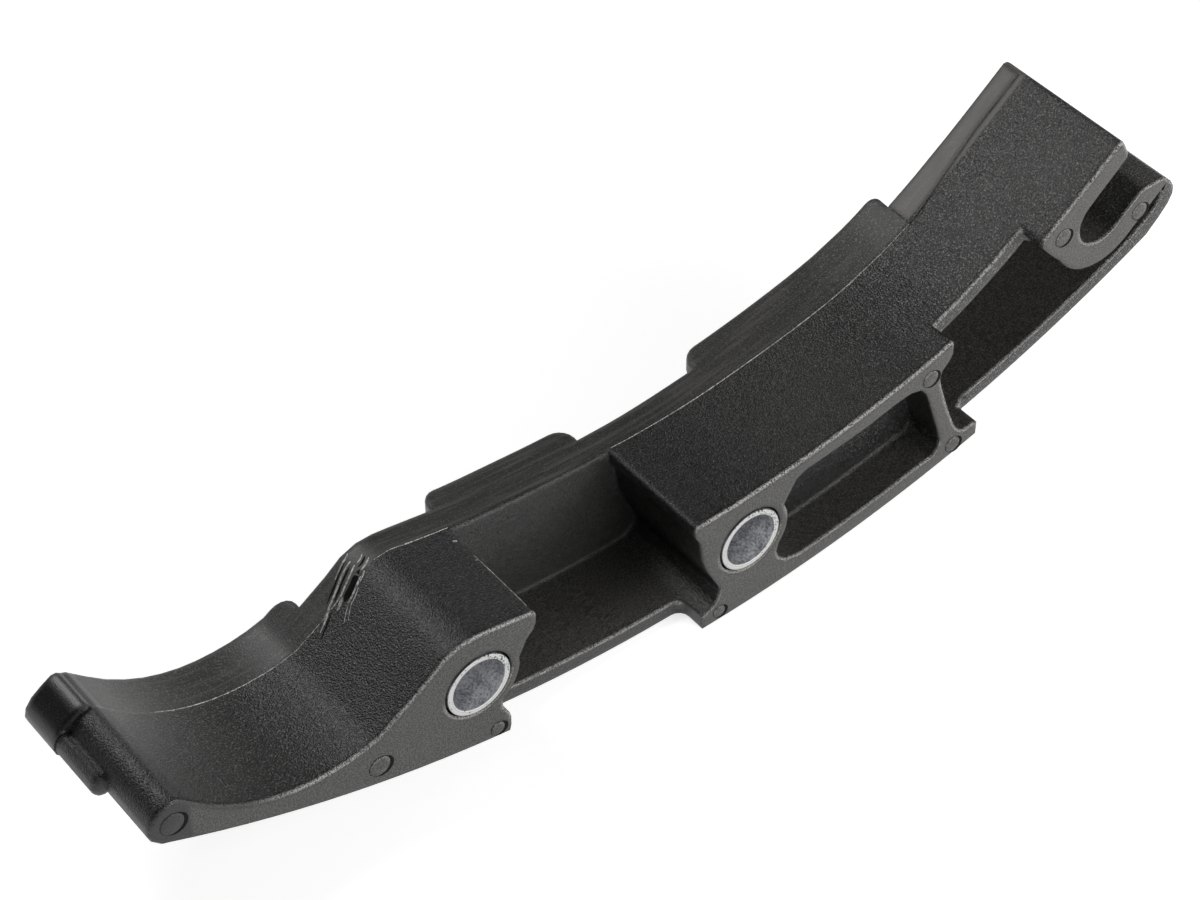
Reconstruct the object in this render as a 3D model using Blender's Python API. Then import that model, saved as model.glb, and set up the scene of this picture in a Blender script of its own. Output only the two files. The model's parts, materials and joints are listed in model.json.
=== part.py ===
"""Timing chain guide: one moulded rail with two pressed-in steel sleeves.

Lengths are written in millimetres and turned into metres once, in metres().
X runs along the rail to the right, Y from the front face to the back, Z up.
While building, X = Z = 0 is the axis of the left sleeve and Y = 0 is the front face.
The finished part is moved so that the origin is the middle of its footprint.
"""
import math

import bmesh
import bpy
from mathutils import Matrix, Vector

MM = 0.001

# Levels along Y, from the front face to the back.
FRONT_Y = 0.0
FLANGE_FRONT_Y = 4.0
PLATE_FRONT_Y = 4.6
WEB_FRONT_Y = 18.6
WEB_THICKNESS = 2.3
STRIP_BACK_Y = 23.3
PAD_BACK_Y = 26.5
BEYOND = 4.0

# Walls.
PLATE_THICKNESS = 2.4
FLANGE_THICKNESS = 2.4
FRONT_SKIN = 3.0
EDGE_ROUND = 1.0

# The convex sliding face is one arc.
ARC_RADIUS = 188.2
ARC_CENTRE_X = 33.95
ARC_CENTRE_Z = 173.6
ARC_LEFT_X = -46.6
ARC_RIGHT_X = 123.4
ARC_STEPS = 46

# Sleeves: standard tube, the same in both places, a little proud of the moulding.
SLEEVE_BORE_RADIUS = 4.06
SLEEVE_WALL = 0.94
SLEEVE_CLEARANCE = 0.3
SLEEVE_CHAMFER = 0.25
SLEEVE_PROUD = 0.2
SLEEVE_SEGMENTS = 48
BOSS_WALL = 1.3
LEFT_SLEEVE_XZ = (0.0, 0.0)
MIDDLE_SLEEVE_XZ = (45.5, -2.06)

# Block edges along X.
LEFT_BLOCK_LIP_X = 9.3
LEFT_FOOT_X = 5.0
MIDDLE_BLOCK_LEFT_X = 35.8
MIDDLE_FOOT_LEFT_X = 37.5
MIDDLE_BLOCK_RIGHT_X = 81.1
MIDDLE_FOOT_RIGHT_X = 87.3
END_BLOCK_LEFT_X = 96.6
RAIL_END_X = 109.6

# Back pads along X.
LEFT_PAD_END_X = -11.8
SECOND_PAD_X = (9.6, 34.0)
THIRD_PAD_X = (54.3, 89.4)
PAD_CORNER = 2.6
THIRD_PAD_END_CORNER = 1.4
PAD_WALL = 2.4

# Open slot at the right end.
SLOT_CENTRE = (108.0, 22.35)
SLOT_HALF_WIDTH = 4.35
SLOT_ANGLE = 42.0
SLOT_ARM_RADIUS = 8.45
SLOT_LIP_Z = 23.3

# Middle block's front pocket and the core behind it.
POCKET_DEPTH = 6.3

# Raised strip along the back edge of the right part of the top face.
STRIP_FRONT_Y = 18.5
STRIP_NARROW_Y = 20.0
STRIP_NARROW_X = 101.0
STRIP_RISE = 0.4

# Boss on the outer face of the left end bar.
TAB_FRONT_Y = 10.0
TAB_TALL_Y = 19.0
TAB_BACK_INSET = 0.3
TAB_END_ROUND = 0.9
TAB_EDGE_ROUND = 0.4

# Where the sliding plate's front edge runs into a foot.
PLAN_FILLET = 1.7

# Knots of the top face, read along the middle of the rail.
TOP_KNOTS = [
    (-44.3, 9.8), (-42.4, 7.9), (-40.0, 5.6), (-37.0, 3.35), (-33.0, 1.2), (-28.0, -0.3),
    (-22.5, -0.65), (-17.5, 0.0), (-13.5, 1.5), (-9.8, 4.0), (-6.6, 6.8), (-4.2, 8.5),
    (-1.0, 9.1), (5.0, 8.3), (12.0, 7.2), (21.0, 6.5), (31.0, 6.0), (40.5, 6.05), (50.0, 7.0),
    (61.0, 8.75), (72.5, 11.4), (80.5, 14.0), (87.5, 17.6), (95.0, 22.65), (102.0, 28.1), (RAIL_END_X, 34.4),
]
TOP_STEP = 2.6
TOP_CLEAR = 1.9

# Side view of the left end bar, from the top face's crest round to the sliding face.
LEFT_NOSE = [(-45.0, 10.1), (-46.1, 10.0), (-47.2, 9.5), (-48.2, 8.6), (-48.9, 7.4), (-49.1, 6.1), (-48.7, 4.9),
             (-47.8, 4.0)]
# Side view of the top right corner, from the top face down to the slot.
RIGHT_CORNER = [(110.1, 34.45), (110.5, 34.15), (110.9, 33.5), (111.6, 32.1)]


def metres(value):
    """Turn a length in millimetres into metres."""
    return value * MM


def catmull_rom(knots, x):
    """Height of a smooth curve through the knots at x."""
    last = len(knots) - 2
    i = 0
    while i < last and knots[i + 1][0] < x:
        i += 1
    x0, z0 = knots[max(i - 1, 0)]
    x1, z1 = knots[i]
    x2, z2 = knots[i + 1]
    x3, z3 = knots[min(i + 2, last + 1)]
    start = (z2 - z0) / (x2 - x0)
    end = (z3 - z1) / (x3 - x1)
    span = x2 - x1
    t = (x - x1) / span
    return ((2 * t ** 3 - 3 * t ** 2 + 1) * z1 + (t ** 3 - 2 * t ** 2 + t) * span * start
            + (3 * t ** 2 - 2 * t ** 3) * z2 + (t ** 3 - t ** 2) * span * end)


def top_z(x):
    """Height of the top face."""
    return catmull_rom(TOP_KNOTS, min(max(x, TOP_KNOTS[0][0]), RAIL_END_X))


def bottom_z(x):
    """Height of the convex sliding face."""
    return ARC_CENTRE_Z - math.sqrt(ARC_RADIUS ** 2 - (x - ARC_CENTRE_X) ** 2)


def plate_top_z(x):
    """Height of the upper side of the sliding plate."""
    return bottom_z(x) + PLATE_THICKNESS / math.cos(math.asin((x - ARC_CENTRE_X) / ARC_RADIUS))


def flange_under_z(x):
    """Height of the underside of the top flange."""
    slope = (top_z(x + 1.0) - top_z(x - 1.0)) / 2.0
    return top_z(x) - FLANGE_THICKNESS * math.hypot(1.0, slope)


def steps(start, end, count):
    """Evenly spaced values including both ends."""
    return [start + (end - start) * i / count for i in range(count + 1)]


def arc(centre, radius, start, end, count):
    """Points on an arc, angles in degrees."""
    return [(centre[0] + radius * math.cos(math.radians(a)), centre[1] + radius * math.sin(math.radians(a)))
            for a in steps(start, end, count)]


def add_object(name, bm):
    """Make an object from a bmesh."""
    mesh = bpy.data.meshes.new(name)
    bm.normal_update()
    bm.to_mesh(mesh)
    bm.free()
    obj = bpy.data.objects.new(name, mesh)
    bpy.context.scene.collection.objects.link(obj)
    return obj


def prism(name, outline, y0, y1):
    """Extrude a closed XZ outline from y0 to y1."""
    bm = bmesh.new()
    area = sum(a[0] * b[1] - b[0] * a[1] for a, b in zip(outline, outline[1:] + outline[:1]))
    ring = outline if area > 0 else outline[::-1]
    front = [bm.verts.new((metres(x), metres(y0), metres(z))) for x, z in ring]
    back = [bm.verts.new((metres(x), metres(y1), metres(z))) for x, z in ring]
    bm.faces.new(front)
    bm.faces.new(back[::-1])
    for i in range(len(ring)):
        j = (i + 1) % len(ring)
        bm.faces.new((front[i], back[i], back[j], front[j]))
    return add_object(name, bm)


def plan_prism(name, outline, z0, z1):
    """Extrude a closed XY outline from z0 to z1."""
    bm = bmesh.new()
    area = sum(a[0] * b[1] - b[0] * a[1] for a, b in zip(outline, outline[1:] + outline[:1]))
    ring = outline if area > 0 else outline[::-1]
    low = [bm.verts.new((metres(x), metres(y), metres(z0))) for x, y in ring]
    high = [bm.verts.new((metres(x), metres(y), metres(z1))) for x, y in ring]
    bm.faces.new(low[::-1])
    bm.faces.new(high)
    for i in range(len(ring)):
        j = (i + 1) % len(ring)
        bm.faces.new((low[i], low[j], high[j], high[i]))
    return add_object(name, bm)


def combine(body, tool, operation):
    """Apply one exact Boolean and drop the tool."""
    tool.hide_render = True
    tool.display_type = "WIRE"
    modifier = body.modifiers.new(operation, "BOOLEAN")
    modifier.operation = operation
    modifier.solver = "EXACT"
    modifier.object = tool
    graph = bpy.context.evaluated_depsgraph_get()
    mesh = bpy.data.meshes.new_from_object(body.evaluated_get(graph))
    body.modifiers.remove(modifier)
    old = body.data
    body.data = mesh
    bpy.data.meshes.remove(old)
    bpy.data.objects.remove(tool)


def cut(body, tool):
    """Take a tool's space out of the body."""
    combine(body, tool, "DIFFERENCE")


def join(body, tool):
    """Add a tool's solid to the body."""
    combine(body, tool, "UNION")


def top_samples():
    """X values of the top face, kept clear of the block and pad edges."""
    edges = [LEFT_BLOCK_LIP_X, MIDDLE_BLOCK_LEFT_X, MIDDLE_BLOCK_RIGHT_X, END_BLOCK_LEFT_X, LEFT_PAD_END_X]
    edges += list(SECOND_PAD_X) + list(THIRD_PAD_X)
    start = TOP_KNOTS[0][0]
    values = steps(start, RAIL_END_X, round((RAIL_END_X - start) / TOP_STEP))
    inner = [x for x in values[1:-1] if min(abs(x - e) for e in edges) > TOP_CLEAR]
    return [start] + inner + [RAIL_END_X]


def sleeve_radius():
    """Outer radius of a sleeve."""
    return SLEEVE_BORE_RADIUS + SLEEVE_WALL


def boss_radius():
    """Outer radius of the moulding around a sleeve."""
    return sleeve_radius() + SLEEVE_CLEARANCE + BOSS_WALL


def rail_outline():
    """Whole side view: top face, right end, sliding face and left end bar."""
    top = [(x, top_z(x)) for x in top_samples()]
    right_end = [(120.0, 23.3), (125.5, 17.8), (127.0, 16.3), (127.8, 14.9), (127.8, 13.5), (127.1, 12.0),
                 (125.6, 10.2)]
    bottom = [(x, bottom_z(x)) for x in steps(ARC_RIGHT_X, ARC_LEFT_X, ARC_STEPS)]
    return top + RIGHT_CORNER + right_end + bottom + LEFT_NOSE[::-1]


def left_block_side():
    """Right side of the left block, from above the top face down to its foot."""
    upper = [(LEFT_BLOCK_LIP_X, 14.0), (LEFT_BLOCK_LIP_X, 5.6), (8.9, 4.5), (7.7, 3.3), (7.1, 1.9)]
    boss = arc(LEFT_SLEEVE_XZ, boss_radius(), 8.0, -56.0, 6)
    foot = [(3.75, -6.9), (4.7, -8.6), (LEFT_FOOT_X, -9.6)]
    return upper + boss + foot


def middle_block_left_side():
    """Left side of the middle block, from the plate up to above the top face."""
    foot = [(MIDDLE_FOOT_LEFT_X - 0.6, plate_top_z(36.9)), (38.6, -11.9), (39.8, -10.9), (40.5, -9.4)]
    wall = [(40.3, -8.1), (39.2, -5.9), (38.1, -3.6), (37.3, -1.2), (37.0, 1.0), (36.8, 2.5), (36.1, 3.6)]
    return foot + wall + [(MIDDLE_BLOCK_LEFT_X, 4.6), (MIDDLE_BLOCK_LEFT_X, 14.0)]


def middle_block_right_side():
    """Right side of the middle block, from above the top face down to the plate."""
    lip = [(MIDDLE_BLOCK_RIGHT_X, 22.0), (MIDDLE_BLOCK_RIGHT_X, 11.8), (80.4, 10.6), (79.4, 9.6)]
    wall = [(79.1, 8.3), (79.5, 6.5), (80.5, 3.4), (81.7, 0.0), (82.8, -2.7), (83.6, -4.0), (84.8, -4.9)]
    return lip + wall + [(86.4, plate_top_z(86.4))]


def slot_direction():
    """Unit vectors along the slot and square to it, towards the lower arm."""
    a = math.radians(SLOT_ANGLE)
    return (math.cos(a), math.sin(a)), (math.sin(a), -math.cos(a))


def slot_point(along, across):
    """A point given along and across the slot from its round end's centre."""
    (ax, az), (nx, nz) = slot_direction()
    return SLOT_CENTRE[0] + along * ax + across * nx, SLOT_CENTRE[1] + along * az + across * nz


def end_block_underside():
    """Lower arm of the end block, from its tip back to the flange."""
    tip = [(121.0, 22.3), (120.1, 20.9), slot_point(9.2, SLOT_ARM_RADIUS)]
    bend = arc(SLOT_CENTRE, SLOT_ARM_RADIUS, SLOT_ANGLE - 90.0, SLOT_ANGLE - 192.0, 10)
    return tip + bend + [(98.6, 20.2)]


def nose_inside():
    """Inner side of the end wall, from the plate up to the lower arm."""
    return [(119.0, plate_top_z(119.0)), (122.2, 10.6), (124.1, 12.2), (125.1, 13.8), (125.0, 15.2),
            (123.8, 16.6), (120.6, 19.6)]


def flange_under(start, end, count):
    """Underside of the top flange between two X values."""
    return [(x, flange_under_z(x)) for x in steps(start, end, count)]


def plate_top(start, end, count):
    """Upper side of the sliding plate between two X values."""
    return [(x, plate_top_z(x)) for x in steps(start, end, count)]


def rounded_range(x0, x1, corner_at):
    """Plan outline of a back setback between two pads, with the pads' corners rounded."""
    outline = [(x0, PAD_BACK_Y + BEYOND)]
    for x, sign in ((x0, 1.0), (x1, -1.0)):
        if x in corner_at:
            radius = corner_at[x]
            centre = (x - sign * radius, PAD_BACK_Y - radius)
            turn = arc(centre, radius, 90.0, 90.0 - sign * 90.0, 5)
            turn = [(centre[0], PAD_BACK_Y + BEYOND)] + turn + [(x, STRIP_BACK_Y)]
            outline += turn if sign > 0 else turn[::-1]
        else:
            outline += [(x, STRIP_BACK_Y)] if sign > 0 else [(x, STRIP_BACK_Y), (x, PAD_BACK_Y + BEYOND)]
    return outline[1:] if x0 in corner_at else outline


def on_end(vert):
    """True for a vertex of the left bar's rounded side or of the top right corner."""
    x, z = vert.co.x / MM, vert.co.z / MM
    points = LEFT_NOSE + RIGHT_CORNER
    return any(abs(x - px) < 0.01 and abs(z - pz) < 0.01 for px, pz in points)


def on_top(vert):
    """True for a vertex on the top face."""
    x, z = vert.co.x / MM, vert.co.z / MM
    if x < TOP_KNOTS[0][0] - 0.01 or x > RAIL_END_X + 0.01:
        return False
    samples = top_samples()
    for a, b in zip(samples, samples[1:]):
        if a - 1e-6 <= x <= b + 1e-6:
            level = top_z(a) + (top_z(b) - top_z(a)) * (x - a) / (b - a)
            return abs(z - level) < 0.01
    return abs(z - top_z(x)) < 0.01


def round_top_edges(body):
    """Round the outer edges of the top face and of the two ends that carry on from it."""
    bm = bmesh.new()
    bm.from_mesh(body.data)
    bmesh.ops.remove_doubles(bm, verts=bm.verts, dist=1e-7)
    bm.normal_update()
    top = {v for v in bm.verts if on_top(v)}
    ends = {v for v in bm.verts if on_end(v)}
    both = top | ends
    chosen = []
    for edge in bm.edges:
        if len(edge.link_faces) != 2 or not all(v in both for v in edge.verts):
            continue
        flat = [all(v in both for v in f.verts) and abs(f.normal.y) < 0.3
                and (f.normal.z > 0.3 or any(v in ends for v in f.verts)) for f in edge.link_faces]
        if flat[0] != flat[1]:
            chosen.append(edge)
    bmesh.ops.bevel(bm, geom=chosen, offset=metres(EDGE_ROUND), offset_type="OFFSET", segments=3,
                    profile=0.5, affect="EDGES", clamp_overlap=True)
    bm.to_mesh(body.data)
    bm.free()


def soften_end(obj, y, amount):
    """Round the outline of a prism's end face at y."""
    bm = bmesh.new()
    bm.from_mesh(obj.data)
    chosen = [e for e in bm.edges if all(abs(v.co.y - metres(y)) < 1e-7 for v in e.verts)]
    bmesh.ops.bevel(bm, geom=chosen, offset=metres(amount), offset_type="OFFSET", segments=3,
                    profile=0.5, affect="EDGES", clamp_overlap=True)
    bm.to_mesh(obj.data)
    bm.free()
    return obj


def plate_notch(x0, x1, z0, z1):
    """Space in front of the plate's front edge, with a fillet where it meets a foot."""
    back = PLATE_FRONT_Y
    outline = [(x1, FRONT_Y - BEYOND), (x0, FRONT_Y - BEYOND)]
    outline += arc((x0 + PLAN_FILLET, back - PLAN_FILLET), PLAN_FILLET, 180.0, 90.0, 4)
    if x1 < ARC_RIGHT_X:
        outline += arc((x1 - PLAN_FILLET, back - PLAN_FILLET), PLAN_FILLET, 90.0, 0.0, 4)
    else:
        outline += [(x1, back)]
    return plan_prism("plate_notch", outline, z0, z1)


def raised_strip():
    """Solid of the raised strip, narrowing towards the right end."""
    start = THIRD_PAD_X[1] - 0.3
    xs = [start] + [x for x in top_samples() if x > start + 0.6][:-1] + [RAIL_END_X - 0.3]
    bm = bmesh.new()
    rings = []
    for x in xs:
        part = min((x - start) / (STRIP_NARROW_X - start), 1.0)
        front = STRIP_FRONT_Y + part * (STRIP_NARROW_Y - STRIP_FRONT_Y)
        low, high = top_z(x) - 1.2, top_z(x) + STRIP_RISE
        ring = [(front, low), (front, high), (STRIP_BACK_Y - 0.4, high), (STRIP_BACK_Y - 0.4, low)]
        rings.append([bm.verts.new((metres(x), metres(y), metres(z))) for y, z in ring])
    for here, there in zip(rings, rings[1:]):
        for i in range(4):
            j = (i + 1) % 4
            bm.faces.new((here[i], here[j], there[j], there[i]))
    bm.faces.new(rings[0])
    bm.faces.new(rings[-1])
    bmesh.ops.recalc_face_normals(bm, faces=bm.faces)
    return add_object("raised_strip", bm)


def front_pocket():
    """Outline of the middle block's front pocket."""
    beside_boss = arc(MIDDLE_SLEEVE_XZ, boss_radius(), -38.0, 28.0, 7)
    ceiling = [(52.6, 3.2), (53.4, 4.6), (55.0, 5.4), (60.5, 6.1), (66.0, 7.0), (71.5, 8.3), (73.8, 8.6)]
    right = [(75.6, 8.1), (76.7, 6.8), (77.5, 4.8), (78.5, 1.6), (79.6, -1.6), (80.2, -3.9), (80.1, -5.4), (79.2, -6.6)]
    floor = [(x, plate_top_z(x) + 0.3) for x in steps(76.6, 54.6, 6)]
    return beside_boss + ceiling + right + floor + [(52.2, -10.2), (50.9, -9.0), (50.4, -7.6)]


def build_rail():
    """Build the moulded rail."""
    body = prism("guide_rail", rail_outline(), FRONT_Y, PAD_BACK_Y)
    far = ARC_RIGHT_X + 20.0
    low = bottom_z(ARC_CENTRE_X) - BEYOND

    bay = left_block_side() + plate_top(LEFT_FOOT_X + 0.6, MIDDLE_FOOT_LEFT_X - 2.0, 12) + middle_block_left_side()
    cut(body, prism("bay", bay, FRONT_Y - BEYOND, WEB_FRONT_Y))

    lip_top = [(MIDDLE_BLOCK_RIGHT_X, 40.0)]
    front_gap = lip_top + middle_block_right_side() + [(MIDDLE_FOOT_RIGHT_X, plate_top_z(86.4))]
    front_gap += [(MIDDLE_FOOT_RIGHT_X, low), (far, low), (far, 23.9)]
    front_gap += end_block_underside() + [(END_BLOCK_LEFT_X, 22.6), (END_BLOCK_LEFT_X, 40.0)]
    cut(body, prism("front_gap", front_gap, FRONT_Y - BEYOND, FLANGE_FRONT_Y))

    setbacks = [
        rounded_range(LEFT_PAD_END_X, SECOND_PAD_X[0], {LEFT_PAD_END_X: PAD_CORNER, SECOND_PAD_X[0]: PAD_CORNER}),
        rounded_range(SECOND_PAD_X[1], THIRD_PAD_X[0], {SECOND_PAD_X[1]: PAD_CORNER, THIRD_PAD_X[0]: PAD_CORNER}),
        rounded_range(THIRD_PAD_X[1], far, {THIRD_PAD_X[1]: THIRD_PAD_END_CORNER}),
    ]
    for outline in setbacks:
        cut(body, plan_prism("setback", outline, low, 45.0))

    round_top_edges(body)

    join(body, raised_strip())

    under = flange_under(82.6, 95.4, 8)
    hollow = under + [(97.0, 21.2)] + end_block_underside()[3:][::-1] + nose_inside()[::-1]
    hollow += plate_top(117.5, 87.6, 16) + middle_block_right_side()[2:][::-1]
    cut(body, prism("hollow", hollow, FRONT_Y - BEYOND, WEB_FRONT_Y))

    cut(body, plate_notch(LEFT_FOOT_X, MIDDLE_FOOT_LEFT_X, low, -9.2))
    foot_corner = [(LEFT_FOOT_X + 0.5, -11.0), (LEFT_FOOT_X, -11.3), (LEFT_FOOT_X - 0.3, -12.6),
                   (LEFT_FOOT_X - 0.8, low), (LEFT_FOOT_X + 0.5, low)]
    cut(body, prism("foot_corner", foot_corner, FRONT_Y - BEYOND, PLATE_FRONT_Y - PLAN_FILLET))
    end_gap = [(MIDDLE_FOOT_RIGHT_X + PLAN_FILLET, low), (far, low), (far, 23.9)] + end_block_underside()[:3]
    end_gap += [(118.0, 14.0), (96.0, 5.0), (MIDDLE_FOOT_RIGHT_X + PLAN_FILLET, -0.5)]
    cut(body, prism("end_gap", end_gap, FRONT_Y - BEYOND, PLATE_FRONT_Y))
    cut(body, plate_notch(MIDDLE_FOOT_RIGHT_X, ARC_RIGHT_X, low, plate_top_z(86.4) + 0.6))

    cut(body, prism("pocket", front_pocket(), FRONT_Y - BEYOND, POCKET_DEPTH))

    lower_end = slot_point(6.0, SLOT_HALF_WIDTH)
    slot = arc(SLOT_CENTRE, SLOT_HALF_WIDTH, SLOT_ANGLE + 90.0, SLOT_ANGLE + 270.0, 14)
    slot += [lower_end, (lower_end[0] + 1.0, SLOT_LIP_Z), (128.0, SLOT_LIP_Z), (128.0, 40.0)]
    slot += [slot_point(12.0, -SLOT_HALF_WIDTH)]
    cut(body, prism("slot", slot, FRONT_Y - BEYOND, PAD_BACK_Y + BEYOND))

    web_back = WEB_FRONT_Y + WEB_THICKNESS
    core_back = PAD_BACK_Y + BEYOND
    left_core = [(-17.5, -2.9), (-14.0, -1.7), (-11.0, 0.3), (-8.4, 2.6), (-7.3, 1.0), (-7.3, -5.0),
                 (-7.6, -7.4), (-12.0, -6.5), (-16.5, -5.2), (-17.6, -4.4)]
    cut(body, prism("left_core", left_core, FRONT_SKIN, core_back))
    second_left, second_right = SECOND_PAD_X[0] + PAD_WALL, SECOND_PAD_X[1] - PAD_WALL
    middle = (second_left + second_right) / 2.0
    for a, b in ((second_left, middle - 1.0), (middle + 1.0, second_right)):
        core = flange_under(a, b, 4) + plate_top(b, a, 4)
        cut(body, prism("second_core", core, web_back, core_back))
    back_of_pocket = front_pocket()
    cut(body, prism("third_core", back_of_pocket, POCKET_DEPTH + WEB_THICKNESS, core_back))
    end_core = flange_under(85.0, 95.4, 6) + [(97.0, 21.2)] + end_block_underside()[3:][::-1]
    end_core += nose_inside()[::-1] + plate_top(117.5, 86.6, 12)
    cut(body, prism("end_core", end_core, web_back, core_back))

    tab_back = PAD_BACK_Y - TAB_BACK_INSET
    low_tab = [(-46.6, 7.6), (-49.6, 8.25), (-50.4, 7.4), (-50.7, 6.2), (-50.45, 5.3), (-49.9, 4.65), (-49.0, 4.4),
               (-46.9, 5.2)]
    low_tab = soften_end(prism("low_tab", low_tab, TAB_FRONT_Y, TAB_TALL_Y + 1.0), TAB_FRONT_Y, TAB_END_ROUND)
    join(body, low_tab)
    tall_tab = [(-44.9, 9.3), (-45.1, 10.4), (-45.7, 10.85), (-46.5, 10.85), (-48.1, 9.9), (-49.6, 8.8), (-50.6, 7.5),
                (-50.9, 6.2), (-50.6, 5.1), (-49.9, 4.4), (-49.0, 4.1), (-46.7, 5.0)]
    tall_tab = soften_end(prism("tall_tab", tall_tab, TAB_TALL_Y, tab_back), tab_back, TAB_EDGE_ROUND)
    join(body, tall_tab)

    hole_radius = sleeve_radius() + SLEEVE_CLEARANCE
    for centre in (LEFT_SLEEVE_XZ, MIDDLE_SLEEVE_XZ):
        ring = arc(centre, hole_radius, 0.0, 360.0, SLEEVE_SEGMENTS)[:-1]
        cut(body, prism("sleeve_hole", ring, FRONT_Y - BEYOND, core_back))
    return body


def build_sleeve(name, centre):
    """Build one steel sleeve, open along Y."""
    y0 = FRONT_Y - SLEEVE_PROUD
    y1 = STRIP_BACK_Y + SLEEVE_PROUD
    c = min(SLEEVE_CHAMFER, SLEEVE_WALL / 3.0)
    ri, ro = SLEEVE_BORE_RADIUS, sleeve_radius()
    section = [(ri, y0 + c), (ri + c, y0), (ro - c, y0), (ro, y0 + c),
               (ro, y1 - c), (ro - c, y1), (ri + c, y1), (ri, y1 - c)]
    bm = bmesh.new()
    rings = []
    for i in range(SLEEVE_SEGMENTS):
        a = 2.0 * math.pi * i / SLEEVE_SEGMENTS
        rings.append([bm.verts.new((metres(centre[0] + r * math.cos(a)), metres(y),
                                    metres(centre[1] + r * math.sin(a)))) for r, y in section])
    for i in range(SLEEVE_SEGMENTS):
        here, there = rings[i], rings[(i + 1) % SLEEVE_SEGMENTS]
        for j in range(len(section)):
            k = (j + 1) % len(section)
            bm.faces.new((here[j], there[j], there[k], here[k]))
    bmesh.ops.recalc_face_normals(bm, faces=bm.faces)
    return add_object(name, bm)


def tidy_mesh(obj):
    """Merge doubled points and drop needless cuts in flat faces."""
    bm = bmesh.new()
    bm.from_mesh(obj.data)
    bmesh.ops.remove_doubles(bm, verts=bm.verts, dist=metres(0.002))
    bmesh.ops.dissolve_degenerate(bm, edges=bm.edges, dist=metres(0.002))
    bmesh.ops.dissolve_limit(bm, angle_limit=math.radians(0.05), verts=bm.verts, edges=bm.edges)
    bmesh.ops.recalc_face_normals(bm, faces=bm.faces)
    bm.to_mesh(obj.data)
    bm.free()


def paint(obj, colour, roughness, metallic):
    """Give an object its own material."""
    material = bpy.data.materials.new(obj.name)
    material.use_nodes = True
    shader = material.node_tree.nodes["Principled BSDF"]
    shader.inputs["Base Color"].default_value = (*colour, 1.0)
    shader.inputs["Roughness"].default_value = roughness
    shader.inputs["Metallic"].default_value = metallic
    material.diffuse_color = (*colour, 1.0)
    obj.data.materials.clear()
    obj.data.materials.append(material)


def smooth(obj, angle):
    """Shade round faces smooth and keep edges above the angle sharp."""
    for polygon in obj.data.polygons:
        polygon.use_smooth = True
    obj.data.set_sharp_from_angle(angle=math.radians(angle))


def centre_on_footprint(objects):
    """Move everything so the origin is the middle of the footprint."""
    points = [v.co for obj in objects for v in obj.data.vertices]
    low = Vector([min(p[i] for p in points) for i in range(3)])
    high = Vector([max(p[i] for p in points) for i in range(3)])
    shift = Vector((-(low.x + high.x) / 2.0, -(low.y + high.y) / 2.0, -low.z))
    for obj in objects:
        obj.data.transform(Matrix.Translation(shift))
        obj.data.update()


def main():
    """Build the whole part."""
    for obj in list(bpy.data.objects):
        bpy.data.objects.remove(obj)
    rail = build_rail()
    tidy_mesh(rail)
    left = build_sleeve("left_sleeve", LEFT_SLEEVE_XZ)
    middle = build_sleeve("middle_sleeve", MIDDLE_SLEEVE_XZ)
    centre_on_footprint([rail, left, middle])
    paint(rail, (0.035, 0.035, 0.037), 0.5, 0.0)
    paint(left, (0.60, 0.61, 0.62), 0.35, 1.0)
    paint(middle, (0.60, 0.61, 0.62), 0.35, 1.0)
    smooth(rail, 28.0)
    smooth(left, 30.0)
    smooth(middle, 30.0)


main()
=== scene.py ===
"""Timing chain guide: looks for the moulded rail and its two steel sleeves.

The frame's axes are used as they are: +X along the rail to the open slot, +Y from
the front face to the back, +Z up. Frame places are in metres. Places named from the
left sleeve are in millimetres, and DATUM turns them into frame places.
"""
from __future__ import annotations

import json
import logging
import math
from dataclasses import dataclass, replace
from enum import Enum
from typing import Sequence

import bmesh
import bpy
from mathutils import Matrix, Vector
from mathutils.bvhtree import BVHTree

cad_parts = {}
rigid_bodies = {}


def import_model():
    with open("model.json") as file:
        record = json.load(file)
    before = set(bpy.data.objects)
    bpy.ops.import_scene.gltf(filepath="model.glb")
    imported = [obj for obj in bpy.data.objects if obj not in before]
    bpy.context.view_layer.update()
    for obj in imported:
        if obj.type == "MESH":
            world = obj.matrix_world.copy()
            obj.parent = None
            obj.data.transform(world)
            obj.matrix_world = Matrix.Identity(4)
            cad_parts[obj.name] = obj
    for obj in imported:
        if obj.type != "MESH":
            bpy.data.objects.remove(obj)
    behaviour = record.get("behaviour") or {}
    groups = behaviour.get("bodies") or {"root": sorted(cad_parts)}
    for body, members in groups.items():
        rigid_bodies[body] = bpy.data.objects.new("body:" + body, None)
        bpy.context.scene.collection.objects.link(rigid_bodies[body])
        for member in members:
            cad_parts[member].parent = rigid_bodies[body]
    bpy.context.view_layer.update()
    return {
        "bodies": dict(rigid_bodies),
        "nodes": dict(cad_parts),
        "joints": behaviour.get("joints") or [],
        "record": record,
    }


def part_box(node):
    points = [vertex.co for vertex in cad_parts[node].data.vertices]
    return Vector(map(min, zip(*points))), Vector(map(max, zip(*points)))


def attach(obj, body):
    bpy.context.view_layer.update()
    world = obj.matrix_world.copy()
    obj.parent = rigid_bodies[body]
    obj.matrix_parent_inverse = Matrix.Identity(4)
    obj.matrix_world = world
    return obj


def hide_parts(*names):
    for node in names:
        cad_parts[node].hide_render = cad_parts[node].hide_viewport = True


LOG = logging.getLogger("chain_guide")
MM = 0.001

Socket = bpy.types.NodeSocket
Colour = tuple[float, float, float]
Pair = tuple[float, float]


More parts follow.
